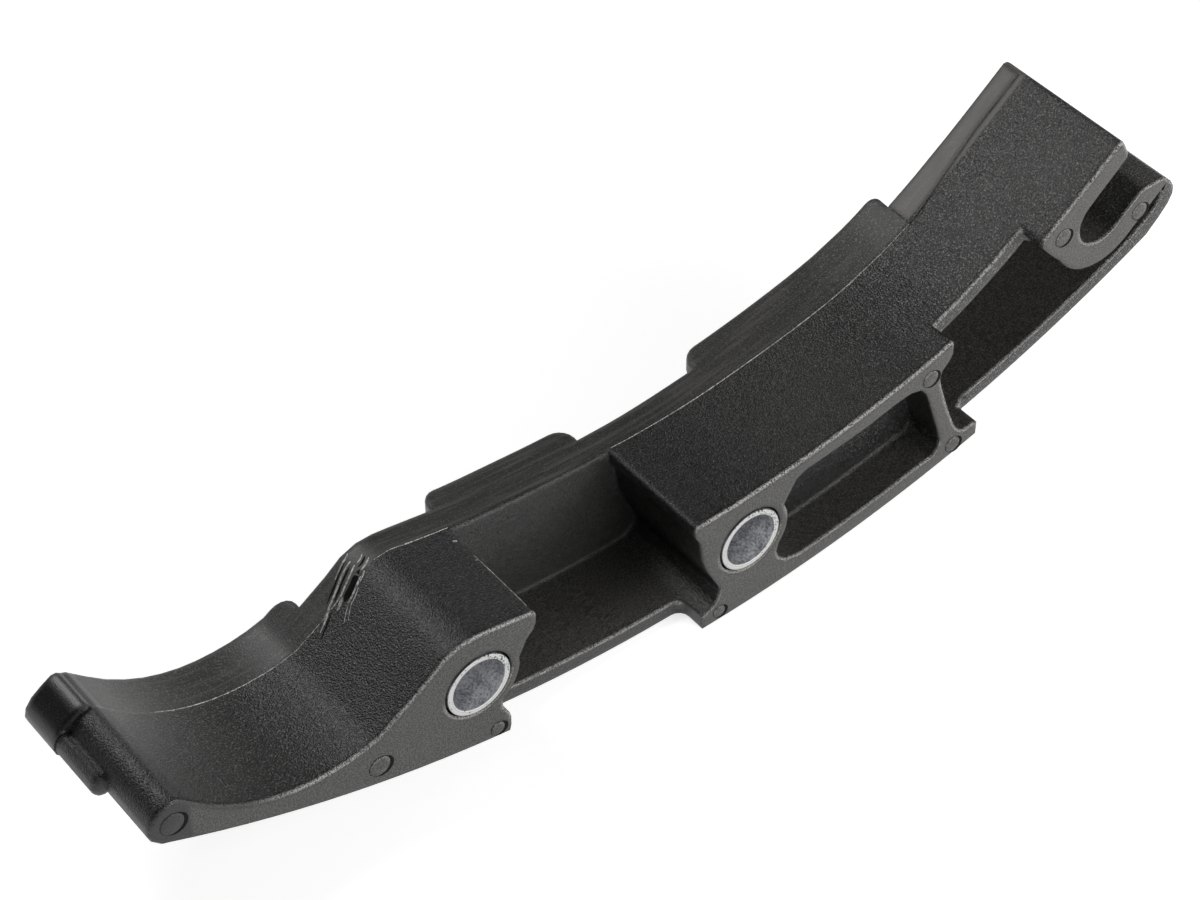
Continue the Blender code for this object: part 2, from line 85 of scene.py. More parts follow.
@dataclass(frozen=True)
class GuideDatum:
    """Centre of the left sleeve at the front face, as a place in the frame.

    Attributes:
        x: Millimetres along the frame's X.
        y: Millimetres along the frame's Y.
        z: Millimetres above the ground.
    """

    x: float = -38.45
    y: float = -13.15
    z: float = 14.5985

    def at(self, x: float, y: float, z: float) -> Vector:
        """Frame position of a point given in millimetres from the left sleeve.

        Args:
            x: Millimetres along the rail.
            y: Millimetres behind the front face.
            z: Millimetres above the sleeve's axis.

        Returns:
            The point in metres.
        """
        return Vector(((x + self.x) * MM, (y + self.y) * MM, (z + self.z) * MM))


DATUM = GuideDatum()


class Surface(Enum):
    """The finishes that this guide and its stage have."""

    ERODED_BLACK = "eroded_black"
    TORN_NYLON = "torn_nylon"
    # Near-black finish of painted shade and painted shadow.
    PAINTED_SHADE = "painted_shade"
    ZINC = "zinc"
    FLOOR = "floor"


@dataclass(frozen=True)
class Ease:
    """How one value grows out of another.

    Attributes:
        low: Where the change starts.
        high: Where it ends.
        start: The result at low.
        end: The result at high.
    """

    low: float
    high: float
    start: float = 0.0
    end: float = 1.0


@dataclass(frozen=True)
class Noise:
    """One noise texture.

    Attributes:
        scale: Cells per metre.
        detail: Octaves.
        roughness: Weight of the finer octaves.
    """

    scale: float
    detail: float
    roughness: float


class NodeSheet:
    """Lays shader nodes into one node tree."""

    def __init__(self, tree: bpy.types.NodeTree) -> None:
        """Clear a tree and keep it.

        Args:
            tree: The tree to write into.
        """
        self.tree = tree
        self.tree.nodes.clear()

    def add(self, kind: str, **values: object) -> bpy.types.Node:
        """Add a node and set its properties or inputs.

        Args:
            kind: Blender's node type name.
            **values: Property names, or input names with underscores for spaces.

        Returns:
            The new node.
        """
        node = self.tree.nodes.new(kind)
        for name, value in values.items():
            if hasattr(node, name):
                setattr(node, name, value)
            else:
                node.inputs[name.replace("_", " ")].default_value = value
        return node

    def link(self, source: Socket, target: Socket) -> None:
        """Join an output to an input."""
        self.tree.links.new(source, target)

    def feed(self, target: Socket, value: object) -> None:
        """Give an input a number, a colour or another node's output.

        Args:
            target: The input.
            value: A socket, a number or a colour triple.
        """
        if isinstance(value, bpy.types.NodeSocket):
            self.link(value, target)
        elif isinstance(value, tuple):
            target.default_value = (*value, 1.0)
        else:
            target.default_value = value

    def split(self, vector: Socket) -> tuple[Socket, Socket, Socket]:
        """Split a vector into its three axes."""
        node = self.add("ShaderNodeSeparateXYZ")
        self.link(vector, node.inputs[0])
        return node.outputs["X"], node.outputs["Y"], node.outputs["Z"]

    def math(self, operation: str, a: object, b: object = 0.0) -> Socket:
        """Add a maths node.

        Args:
            operation: The node's operation.
            a: A socket or a number.
            b: A socket or a number.

        Returns:
            The result.
        """
        node = self.add("ShaderNodeMath", operation=operation)
        for socket, value in zip(node.inputs, (a, b)):
            self.feed(socket, value)
        return node.outputs[0]

    def times(self, first: object, *others: object) -> Socket:
        """Multiply values, from left to right.

        Args:
            first: A socket or a number.
            *others: Sockets or numbers.

        Returns:
            The product.
        """
        for other in others:
            first = self.math("MULTIPLY", first, other)
        return first

    def larger(self, a: object, b: object) -> Socket:
        """Take the larger of two values."""
        return self.math("MAXIMUM", a, b)

    def ramp(self, value: Socket, ease: Ease, smooth: bool = True) -> Socket:
        """Map a range of a value onto another.

        Args:
            value: The value to map.
            ease: The two ranges.
            smooth: Whether the change is eased.

        Returns:
            The mapped value.
        """
        node = self.add("ShaderNodeMapRange", interpolation_type="SMOOTHSTEP" if smooth else "LINEAR",
                        From_Min=ease.low, From_Max=ease.high, To_Min=ease.start, To_Max=ease.end)
        self.link(value, node.inputs["Value"])
        return node.outputs[0]

    def noise(self, place: Socket, kind: Noise) -> Socket:
        """Add a noise texture.

        Args:
            place: The coordinates.
            kind: Its size and fineness.

        Returns:
            The grey output.
        """
        node = self.add("ShaderNodeTexNoise", Scale=kind.scale, Detail=kind.detail, Roughness=kind.roughness)
        self.link(place, node.inputs["Vector"])
        return node.outputs["Fac"]

    def rings(self, radius: Socket, scale: float) -> Socket:
        """Add noise that changes with the radius only, as a turning tool leaves it.

        Args:
            radius: Distance from the axis.
            scale: Rings per metre.

        Returns:
            The grey output.
        """
        node = self.add("ShaderNodeTexNoise", noise_dimensions="1D", Scale=scale, Detail=1.0)
        self.link(radius, node.inputs["W"])
        return node.outputs["Fac"]

    def stretch(self, place: Socket, scale: tuple[float, float, float]) -> Socket:
        """Scale coordinates along each axis, for streaks."""
        node = self.add("ShaderNodeMapping", Scale=scale)
        self.link(place, node.inputs["Vector"])
        return node.outputs[0]

    def mix_value(self, fac: Socket, a: object, b: object) -> Socket:
        """Blend two numbers by a factor.

        Args:
            fac: The factor.
            a: Number or socket at 0.
            b: Number or socket at 1.

        Returns:
            The blended value.
        """
        node = self.add("ShaderNodeMix", data_type="FLOAT")
        self.link(fac, node.inputs["Factor"])
        self.feed(node.inputs[2], a)
        self.feed(node.inputs[3], b)
        return node.outputs[0]

    def mix_colour(self, fac: Socket, a: object, b: object) -> Socket:
        """Blend two colours by a factor.

        Args:
            fac: The factor.
            a: Colour triple or socket at 0.
            b: Colour triple or socket at 1.

        Returns:
            The blended colour.
        """
        node = self.add("ShaderNodeMix", data_type="RGBA")
        self.link(fac, node.inputs["Factor"])
        self.feed(node.inputs[6], a)
        self.feed(node.inputs[7], b)
        return node.outputs[2]

    def bump(self, height: Socket, depth: float, strength: float, over: Socket | None = None) -> Socket:
        """Raise the shading by a height.

        Args:
            height: The height from 0 to 1.
            depth: What a height of 1 means in metres.
            strength: Share of the bump that is used.
            over: Normal that it is laid over, or the surface's own.

        Returns:
            The raised normal.
        """
        node = self.add("ShaderNodeBump", Strength=strength, Distance=depth)
        self.link(height, node.inputs["Height"])
        if over is not None:
            self.link(over, node.inputs["Normal"])
        return node.outputs[0]

    def cover(self, tone: Socket, rough: object, normal: Socket, **values: float) -> None:
        """Close a material with one plain shader.

        Args:
            tone: Its colour.
            rough: Its roughness.
            normal: Its normal.
            **values: Other inputs of the shader.
        """
        shader = self.add("ShaderNodeBsdfPrincipled", **values)
        self.link(tone, shader.inputs["Base Color"])
        self.feed(shader.inputs["Roughness"], rough)
        self.link(normal, shader.inputs["Normal"])
        self.show(shader, "ShaderNodeOutputMaterial")

    def show(self, shader: bpy.types.Node, output: str) -> None:
        """Lead a shader to the tree's output.

        Args:
            shader: The last shader node.
            output: Blender's type name of the output node.
        """
        out = self.add(output)
        self.link(shader.outputs[0], out.inputs["Surface"])


def start_material(surface: Surface) -> tuple[bpy.types.Material, NodeSheet]:
    """Make an empty material.

    Args:
        surface: The finish that it is named after.

    Returns:
        The material and its node sheet.
    """
    material = bpy.data.materials.new(surface.value)
    material.use_nodes = True
    return material, NodeSheet(material.node_tree)


@dataclass(frozen=True)
class RailPlaces:
    """Where the moulding's look changes, in millimetres from the left sleeve's front centre.

    Attributes:
        looks_front: How far a face has to look along Y to count as one that looks to the front.
        looks_up: How far a face has to look along Z to count as one that looks up.
        skin: Depth at which the front face's own finish ends.
        inner_light_depth: Depth over which the painted light on inner faces that look to the front grows.
        edge: Depth at which the front's rounded edges end.
        parting: Depth of the parting line on the top.
        step: Depth of the raised strip's front step.
        strip: Where the raised strip starts along the rail.
        strip_foot: Place along the rail and height of the step's start.
        strip_climb: Rise of the strip per length.
        strip_blend: Height over which the step's look starts.
        nose: Where the dark left tip starts.
        hump: Where the painted glints of the left block's hump start.
        painted_glints: Where the painted glints of the glass grains grow stronger to the right.
        painted_right_highlight: Where a painted highlight makes the top paler to the right.
        left_haze: Where the top grows paler to the left.
        edge_highlight_reach: Where the painted highlight on the front's edges grows along the rail.
        browner: Stretch over which the front face grows browner.
        floor: Depths below the sleeve's axis between which the painted light on the low floors starts.
        floor_climb: Rise of those floors per length.
    """

    looks_front: Ease = Ease(0.90, 0.98)
    looks_up: Ease = Ease(0.30, 0.60)
    skin: Ease = Ease(0.5, 1.5, 1.0, 0.0)
    inner_light_depth: Ease = Ease(6.0, 12.0, 0.1, 1.0)
    edge: Ease = Ease(5.3, 5.9, 1.0, 0.0)
    parting: Ease = Ease(18.7, 19.2)
    step: Ease = Ease(18.1, 18.4)
    strip: Ease = Ease(88.6, 89.6)
    strip_foot: Pair = (89.4, 17.3)
    strip_climb: float = 0.79
    strip_blend: float = 0.3
    nose: Ease = Ease(-42.6, -43.6)
    hump: Ease = Ease(-3.0, -9.0, 0.0, 0.22)
    painted_glints: Ease = Ease(58.0, 94.0, 0.20, 1.0)
    painted_right_highlight: Ease = Ease(70.0, 112.0, 0.0, 0.55)
    left_haze: Ease = Ease(-20.0, -42.0, 0.0, 0.5)
    edge_highlight_reach: Ease = Ease(-36.0, -24.0, 0.1, 1.0)
    browner: Ease = Ease(0.0, 110.0, 0.0, 0.22)
    floor: Pair = (2.0, 5.0)
    floor_climb: float = 0.2


class RailMasks:
    """Masks from 0 to 1 that say where each look of the moulding lies.

    Attributes:
        sheet: The node sheet that they are worked out in.
        places: Where the look changes.
        place: Object coordinates.
        along: Frame X of a point.
        depth: Frame Y of a point.
        height: Frame Z of a point.
        faces_front: Faces that look to the front or the back.
        faces_up: Faces that look up.
        front_face: The foremost faces.
        pad: The top behind the parting line, without the left tip.
        strip: The raised strip with its step.
        nose: The left tip.
        tab: The left tip behind the parting line.
    """

    def __init__(self, sheet: NodeSheet, places: RailPlaces) -> None:
        """Work the masks out.

        Args:
            sheet: The node sheet of the moulding's material.
            places: Where the look changes.
        """
        self.sheet = sheet
        self.places = places
        self.place = sheet.add("ShaderNodeTexCoord").outputs["Object"]
        self.along, self.depth, self.height = sheet.split(self.place)
        _, turn_y, turn_z = sheet.split(sheet.add("ShaderNodeNewGeometry").outputs["True Normal"])
        self.faces_front = sheet.ramp(sheet.math("ABSOLUTE", turn_y), places.looks_front)
        self.faces_up = sheet.ramp(turn_z, places.looks_up)
        self.front_face = sheet.times(self.faces_front, self.over_depth(places.skin))
        behind = self.over_depth(places.parting)
        top_behind = sheet.times(behind, self.faces_up)
        self.strip = sheet.times(sheet.larger(top_behind, self.strip_step()), self.over_length(places.strip))
        self.nose = self.over_length(places.nose)
        self.tab = sheet.times(self.nose, behind)
        self.pad = sheet.times(top_behind, sheet.mix_value(self.nose, 1.0, 0.0))

    def over_length(self, change: Ease) -> Socket:
        """Change a value along the rail.

        Args:
            change: Where it changes, in millimetres from the left sleeve, and its values.

        Returns:
            The value.
        """
        low, high = (DATUM.at(x, 0.0, 0.0).x for x in (change.low, change.high))
        return self.sheet.ramp(self.along, replace(change, low=low, high=high))

    def over_depth(self, change: Ease) -> Socket:
        """Change a value from the front to the back.

        Args:
            change: Where it changes, in millimetres behind the front face, and its values.

        Returns:
            The value.
        """
        low, high = (DATUM.at(0.0, y, 0.0).y for y in (change.low, change.high))
        return self.sheet.ramp(self.depth, replace(change, low=low, high=high))

    def level_over(self, climb: float) -> Socket:
        """Height over a slope that climbs along the rail."""
        return self.sheet.math("SUBTRACT", self.height, self.sheet.times(self.along, climb))

    def strip_step(self) -> Socket:
        """Mask of the raised strip's front step."""
        foot_x, foot_z = self.places.strip_foot
        climb = self.places.strip_climb
        foot = DATUM.at(0.0, 0.0, foot_z).z - climb * DATUM.at(foot_x, 0.0, 0.0).x
        high = self.sheet.ramp(self.level_over(climb), Ease(foot - self.places.strip_blend * MM, foot))
        return self.sheet.times(self.faces_front, high, self.over_depth(self.places.step))

    def painted_floor_light(self) -> Socket:
        """Mask of the low faces that look up, where painted light is laid."""
        climb = self.places.floor_climb
        axis = DATUM.at(0.0, 0.0, 0.0)
        level = axis.z - climb * axis.x
        near, far = (level - drop * MM for drop in self.places.floor)
        return self.sheet.times(self.sheet.ramp(self.level_over(climb), Ease(near, far)), self.faces_up)


@dataclass(frozen=True)
class RailGrain:
    """Noises that the moulding's look is mixed from.

    Attributes:
        grain: The eroded grain, fine and coarse together.
        spots: Speckle of the same size as the grain.
        cloud: Wide soft patches.
        streak: Fine lines along the rail.
    """

    grain: Socket
    spots: Socket
    cloud: Socket
    streak: Socket


@dataclass(frozen=True)
class GrainMix:
    """How the noises turn into tones: which part of a noise counts, and how strongly.

    Attributes:
        relief: From the grain's low spots to its high spots.
        painted_glints: Painted glints of glass grains among the spots.
        floor_light: Painted light on the low floors, speckled.
        inner: Painted light on inner faces that look to the front, as pale grains.
        paler_top_cloud: Patches of the paler top.
        paler_top_spots: Speckle of the paler top.
        scuff: Fine lines behind the parting line.
        front_spots: Speckle of the front faces.
        front_cloud: Patches of the front faces.
        rub: Fine lines of the raised strip.
        edge_highlight: Speckle of the painted highlight on the front's edges.
    """

    relief: Ease = Ease(0.44, 0.60)
    painted_glints: Ease = Ease(0.56, 0.70)
    floor_light: Ease = Ease(0.35, 0.65, 0.15, 0.8)
    inner: Ease = Ease(0.38, 0.62, 0.15, 0.75)
    paler_top_cloud: Ease = Ease(0.25, 0.75, 0.35, 1.0)
    paler_top_spots: Ease = Ease(0.38, 0.60, 0.25, 1.0)
    scuff: Ease = Ease(0.42, 0.72, 0.16, 0.62)
    front_spots: Ease = Ease(0.32, 0.68)
    front_cloud: Ease = Ease(0.2, 0.8, 0.75, 1.0)
    rub: Ease = Ease(0.35, 0.7, 0.75, 1.0)
    edge_highlight: Ease = Ease(0.34, 0.58, 0.15, 1.0)


@dataclass(frozen=True)
class EdgeRounding:
    """How the front's edges are shaded round, by how far the bent normal looks to the front, and where the painted
    shade band and painted highlight line lie on them.

    Attributes:
        radius: Radius in metres.
        samples: Rays that find the bend.
        upward: How far up an edge has to look.
        shade_band_in: Where the band of painted shade starts.
        shade_band_out: Where it gives way to the front face.
        highlight_in: Where the painted highlight line starts.
        highlight_out: Where the painted highlight line ends.
    """

    radius: float = 0.0011
    samples: int = 6
    upward: Ease = Ease(-0.05, 0.15)
    shade_band_in: Ease = Ease(0.14, 0.30)
    shade_band_out: Ease = Ease(0.975, 0.995, 1.0, 0.0)
    highlight_in: Ease = Ease(0.44, 0.56)
    highlight_out: Ease = Ease(0.88, 0.95, 1.0, 0.0)


@dataclass(frozen=True)
class RoundedEdges:
    """The front's rounded edges, as the shading sees them.

    Attributes:
        normal: Normal with the edges rounded.
        rounded: Mask of the whole rounding, where the band of painted shade lies.
        edge_highlight: Mask of its painted highlight line, without the speckle.
    """

    normal: Socket
    rounded: Socket
    edge_highlight: Socket


@dataclass(frozen=True)
class ErodedBlack:
    """Glass-filled black nylon from a spark-eroded mould.

    The top is coarsely grained in front of the parting line and smoother behind it,
    the front faces are finely grained, and both grow paler to the right, the top also to the left.
    The top's paler right end is a painted highlight; painted glints, painted light on low floors
    and inner walls, and painted shade and highlights on the front's edges are in the colour too.

    Attributes:
        deep: Base colour of the grain's low spots.
        raised: Base colour of the grain's high spots.
        haze_and_painted_light: Pale haze colour of the scuffs behind the parting line, also used for the painted
            light on the low floors and the paler top.
        front: Base colour of the front faces.
        rubbed: Colour of the paler strip at the right end's back edge.
        edge_highlight_colour: Colour of the painted highlight on the rounded edges that face the front.
        painted_glint_colour: Colour of the painted glints: glass grains painted as if they catch the light.
        front_shades: Darkest and palest share of the front's colour.
        nose_dark: How dark the left tip is.
        fine: The eroded grain.
        coarse: Coarser grain among it.
        coarse_share: Share of the coarser grain.
        spots: Speckle.
        cloud: Wide patches.
        streak: Fine lines, in coordinates stretched by streak_stretch.
        streak_stretch: Cells per metre of the fine lines, along each axis.
        grain_depth: Height of the grain in metres.
        roughness: Roughness of the grained top, by the grain.
        pad_roughness: Roughness behind the parting line, by the fine lines.
        front_roughness: Roughness of the front faces.
        edge_roughness: Roughness of the rounded edges and the left tip.
        front_calm: Share of the grain's height that the front faces keep.
        pad_calm: The same for the top behind the parting line.
        tab_calm: The same for the left tip.
        places: Where the look changes.
        mix: How the noises turn into tones.
        rounding: How the front's edges are shaded.
    """

    deep: Colour = (0.0015, 0.0015, 0.0018)
    raised: Colour = (0.012, 0.0117, 0.0113)
    haze_and_painted_light: Colour = (0.094, 0.091, 0.086)
    front: Colour = (0.050, 0.049, 0.047)
    rubbed: Colour = (0.130, 0.124, 0.116)
    edge_highlight_colour: Colour = (0.44, 0.43, 0.41)
    painted_glint_colour: Colour = (0.24, 0.233, 0.222)
    front_shades: Pair = (0.30, 1.75)
    nose_dark: float = 0.8
    fine: Noise = Noise(4200.0, 1.0, 0.6)
    coarse: Noise = Noise(1890.0, 0.0, 0.5)
    coarse_share: float = 0.2
    spots: Noise = Noise(4116.0, 1.0, 0.55)
    cloud: Noise = Noise(90.0, 4.0, 0.6)
    streak: Noise = Noise(1.0, 4.0, 0.65)
    streak_stretch: tuple[float, float, float] = (60.0, 1500.0, 300.0)
    grain_depth: float = 0.00015
    roughness: Ease = Ease(0.3, 0.7, 0.28, 0.40)
    pad_roughness: Ease = Ease(0.3, 0.7, 0.38, 0.50)
    front_roughness: float = 0.50
    edge_roughness: float = 0.26
    front_calm: float = 0.50
    pad_calm: float = 0.28
    tab_calm: float = 0.12
    places: RailPlaces = RailPlaces()
    mix: GrainMix = GrainMix()
    rounding: EdgeRounding = EdgeRounding()

    def noises(self, sheet: NodeSheet, place: Socket) -> RailGrain:
        """Lay the noises that the look is mixed from.

        Args:
            sheet: The material's node sheet.
            place: Object coordinates.

        Returns:
            The noises.
        """
        fine = sheet.times(sheet.noise(place, self.fine), 1.0 - self.coarse_share)
        coarse = sheet.times(sheet.noise(place, self.coarse), self.coarse_share)
        return RailGrain(
            grain=sheet.math("ADD", fine, coarse),
            spots=sheet.noise(place, self.spots),
            cloud=sheet.noise(place, self.cloud),
            streak=sheet.noise(sheet.stretch(place, self.streak_stretch), self.streak),
        )

    def top_tone(self, sheet: NodeSheet, masks: RailMasks, noise: RailGrain) -> Socket:
        """Colour the grained top and all that isn't a front face.

        Args:
            sheet: The material's node sheet.
            masks: Where each look lies.
            noise: The noises.

        Returns:
            The colour.
        """
        places, mix = self.places, self.mix
        tone = sheet.mix_colour(sheet.ramp(noise.grain, mix.relief), self.deep, self.raised)
        # Painted glints: bright dots of glass grains, stronger to the right and on the hump.
        painted_glint_mask = sheet.math("ADD", masks.over_length(places.painted_glints), masks.over_length(places.hump))
        painted_glint_mask = sheet.times(painted_glint_mask, sheet.ramp(noise.spots, mix.painted_glints))
        tone = sheet.mix_colour(painted_glint_mask, tone, self.painted_glint_colour)
        # Painted light on the low floors that lie in shade: speckled, in the pale haze colour.
        floor_light = sheet.times(masks.painted_floor_light(), sheet.ramp(noise.spots, mix.floor_light))
        tone = sheet.mix_colour(floor_light, tone, self.haze_and_painted_light)
        # Painted light on inner faces that look to the front: pale grains that grow with depth.
        inner = sheet.times(masks.faces_front, sheet.ramp(noise.grain, mix.inner), masks.over_depth(places.inner_light_depth))
        tone = sheet.mix_colour(inner, tone, self.front)
        # Paler top towards both ends: on the right end it is a painted highlight.
        paler_top = sheet.math("ADD", masks.over_length(places.painted_right_highlight), masks.over_length(places.left_haze))
        paler_top = sheet.times(paler_top, sheet.ramp(noise.cloud, mix.paler_top_cloud), sheet.ramp(noise.spots, mix.paler_top_spots),
                           masks.faces_up)
        tone = sheet.mix_colour(paler_top, tone, self.haze_and_painted_light)
        scuff = sheet.times(sheet.ramp(noise.streak, mix.scuff), masks.pad)
        return sheet.mix_colour(scuff, tone, self.haze_and_painted_light)

    def front_tone(self, sheet: NodeSheet, masks: RailMasks, noise: RailGrain) -> Socket:
        """Colour the front faces: speckled, and browner to the right.

        Args:
            sheet: The material's node sheet.
            masks: Where each look lies.
            noise: The noises.

        Returns:
            The colour.
        """
        dark, pale = (tuple(share * v for v in self.front) for share in self.front_shades)
        speckled = sheet.mix_colour(sheet.ramp(noise.spots, self.mix.front_spots), dark, pale)
        return sheet.mix_colour(masks.over_length(self.places.browner), speckled, self.rubbed)

    def edges(self, sheet: NodeSheet, masks: RailMasks) -> RoundedEdges:
        """Find the front's rounded edges: a band of painted shade with a painted highlight line in it.

        Args:
            sheet: The material's node sheet.
            masks: Where each look lies.

        Returns:
            The edges.
        """
        edge = self.rounding
        normal = sheet.add("ShaderNodeBevel", samples=edge.samples, Radius=edge.radius).outputs[0]
        _, bend_y, bend_z = sheet.split(normal)
        forward = sheet.times(bend_y, -1.0)
        upper = sheet.times(sheet.ramp(bend_z, edge.upward), masks.over_depth(self.places.edge))
        # Painted shade band and painted highlight line, placed by the bent normal's direction.
        rounded = sheet.times(sheet.ramp(forward, edge.shade_band_in), sheet.ramp(forward, edge.shade_band_out), upper)
        edge_highlight = sheet.times(sheet.ramp(forward, edge.highlight_in), sheet.ramp(forward, edge.highlight_out), upper)
        return RoundedEdges(normal, rounded, edge_highlight)

    def build(self) -> bpy.types.Material:
        """Make the material.

        Returns:
            The finished material.
        """
        material, sheet = start_material(Surface.ERODED_BLACK)
        masks = RailMasks(sheet, self.places)
        noise = self.noises(sheet, masks.place)
        edges = self.edges(sheet, masks)

        tone = self.top_tone(sheet, masks, noise)
        front = sheet.times(masks.front_face, sheet.ramp(noise.cloud, self.mix.front_cloud))
        tone = sheet.mix_colour(front, tone, self.front_tone(sheet, masks, noise))
        rub = sheet.times(masks.strip, sheet.ramp(noise.streak, self.mix.rub))
        tone = sheet.mix_colour(rub, tone, self.rubbed)
        # Painted shade: the rounded edges' band is darkened to the deep colour; the left tip is darker too.
        dark = sheet.larger(edges.rounded, sheet.times(masks.nose, self.nose_dark))
        tone = sheet.mix_colour(dark, tone, self.deep)
        # Painted highlight: a speckled bright line on the front's rounded edges, stronger to the right.
        edge_highlight = sheet.times(edges.edge_highlight, sheet.ramp(noise.spots, self.mix.edge_highlight),
                            masks.over_length(self.places.edge_highlight_reach))
        tone = sheet.mix_colour(edge_highlight, tone, self.edge_highlight_colour)

        rough = sheet.ramp(noise.grain, self.roughness, smooth=False)
        rough = sheet.mix_value(masks.front_face, rough, self.front_roughness)
        rough = sheet.mix_value(sheet.larger(edges.rounded, masks.tab), rough, self.edge_roughness)
        rough = sheet.mix_value(masks.pad, rough, sheet.ramp(noise.streak, self.pad_roughness, smooth=False))

        calm = sheet.times(sheet.mix_value(masks.front_face, 1.0, self.front_calm),
                           sheet.mix_value(masks.pad, 1.0, self.pad_calm),
                           sheet.mix_value(masks.tab, 1.0, self.tab_calm))
        normal = sheet.bump(sheet.times(noise.grain, calm), self.grain_depth, 1.0, over=edges.normal)
        sheet.cover(tone, rough, normal, IOR=1.5)
        return material


@dataclass(frozen=True)
class MarkFinish:
    """Finish of the small marks: torn flash that moulding leaves, or painted shade in a step or hollow.

    Attributes:
        surface: Which of the two it is.
        low: Colour of its darker places.
        high: Colour of its paler places.
        roughness: Its roughness.
        gloss: Its specular level, 0.5 being plain plastic.
        crumbs: Its crumbs.
        crumb_tone: From dark to pale crumbs.
        crumb_depth: Height of the crumbs in metres.
        bump_share: Share of that height that is used.
    """

    surface: Surface
    low: Colour
    high: Colour
    roughness: float
    gloss: float = 0.5
    crumbs: Noise = Noise(2600.0, 3.0, 0.7)
    crumb_tone: Ease = Ease(0.35, 0.62)
    crumb_depth: float = 0.00005
    bump_share: float = 0.8

    def build(self) -> bpy.types.Material:
        """Make the material.

        Returns:
            The finished material.
        """
        material, sheet = start_material(self.surface)
        crumb = sheet.noise(sheet.add("ShaderNodeTexCoord").outputs["Object"], self.crumbs)
        tone = sheet.mix_colour(sheet.ramp(crumb, self.crumb_tone), self.low, self.high)
        normal = sheet.bump(crumb, self.crumb_depth, self.bump_share)
        sheet.cover(tone, self.roughness, normal, IOR=1.5, Specular_IOR_Level=self.gloss)
        return material


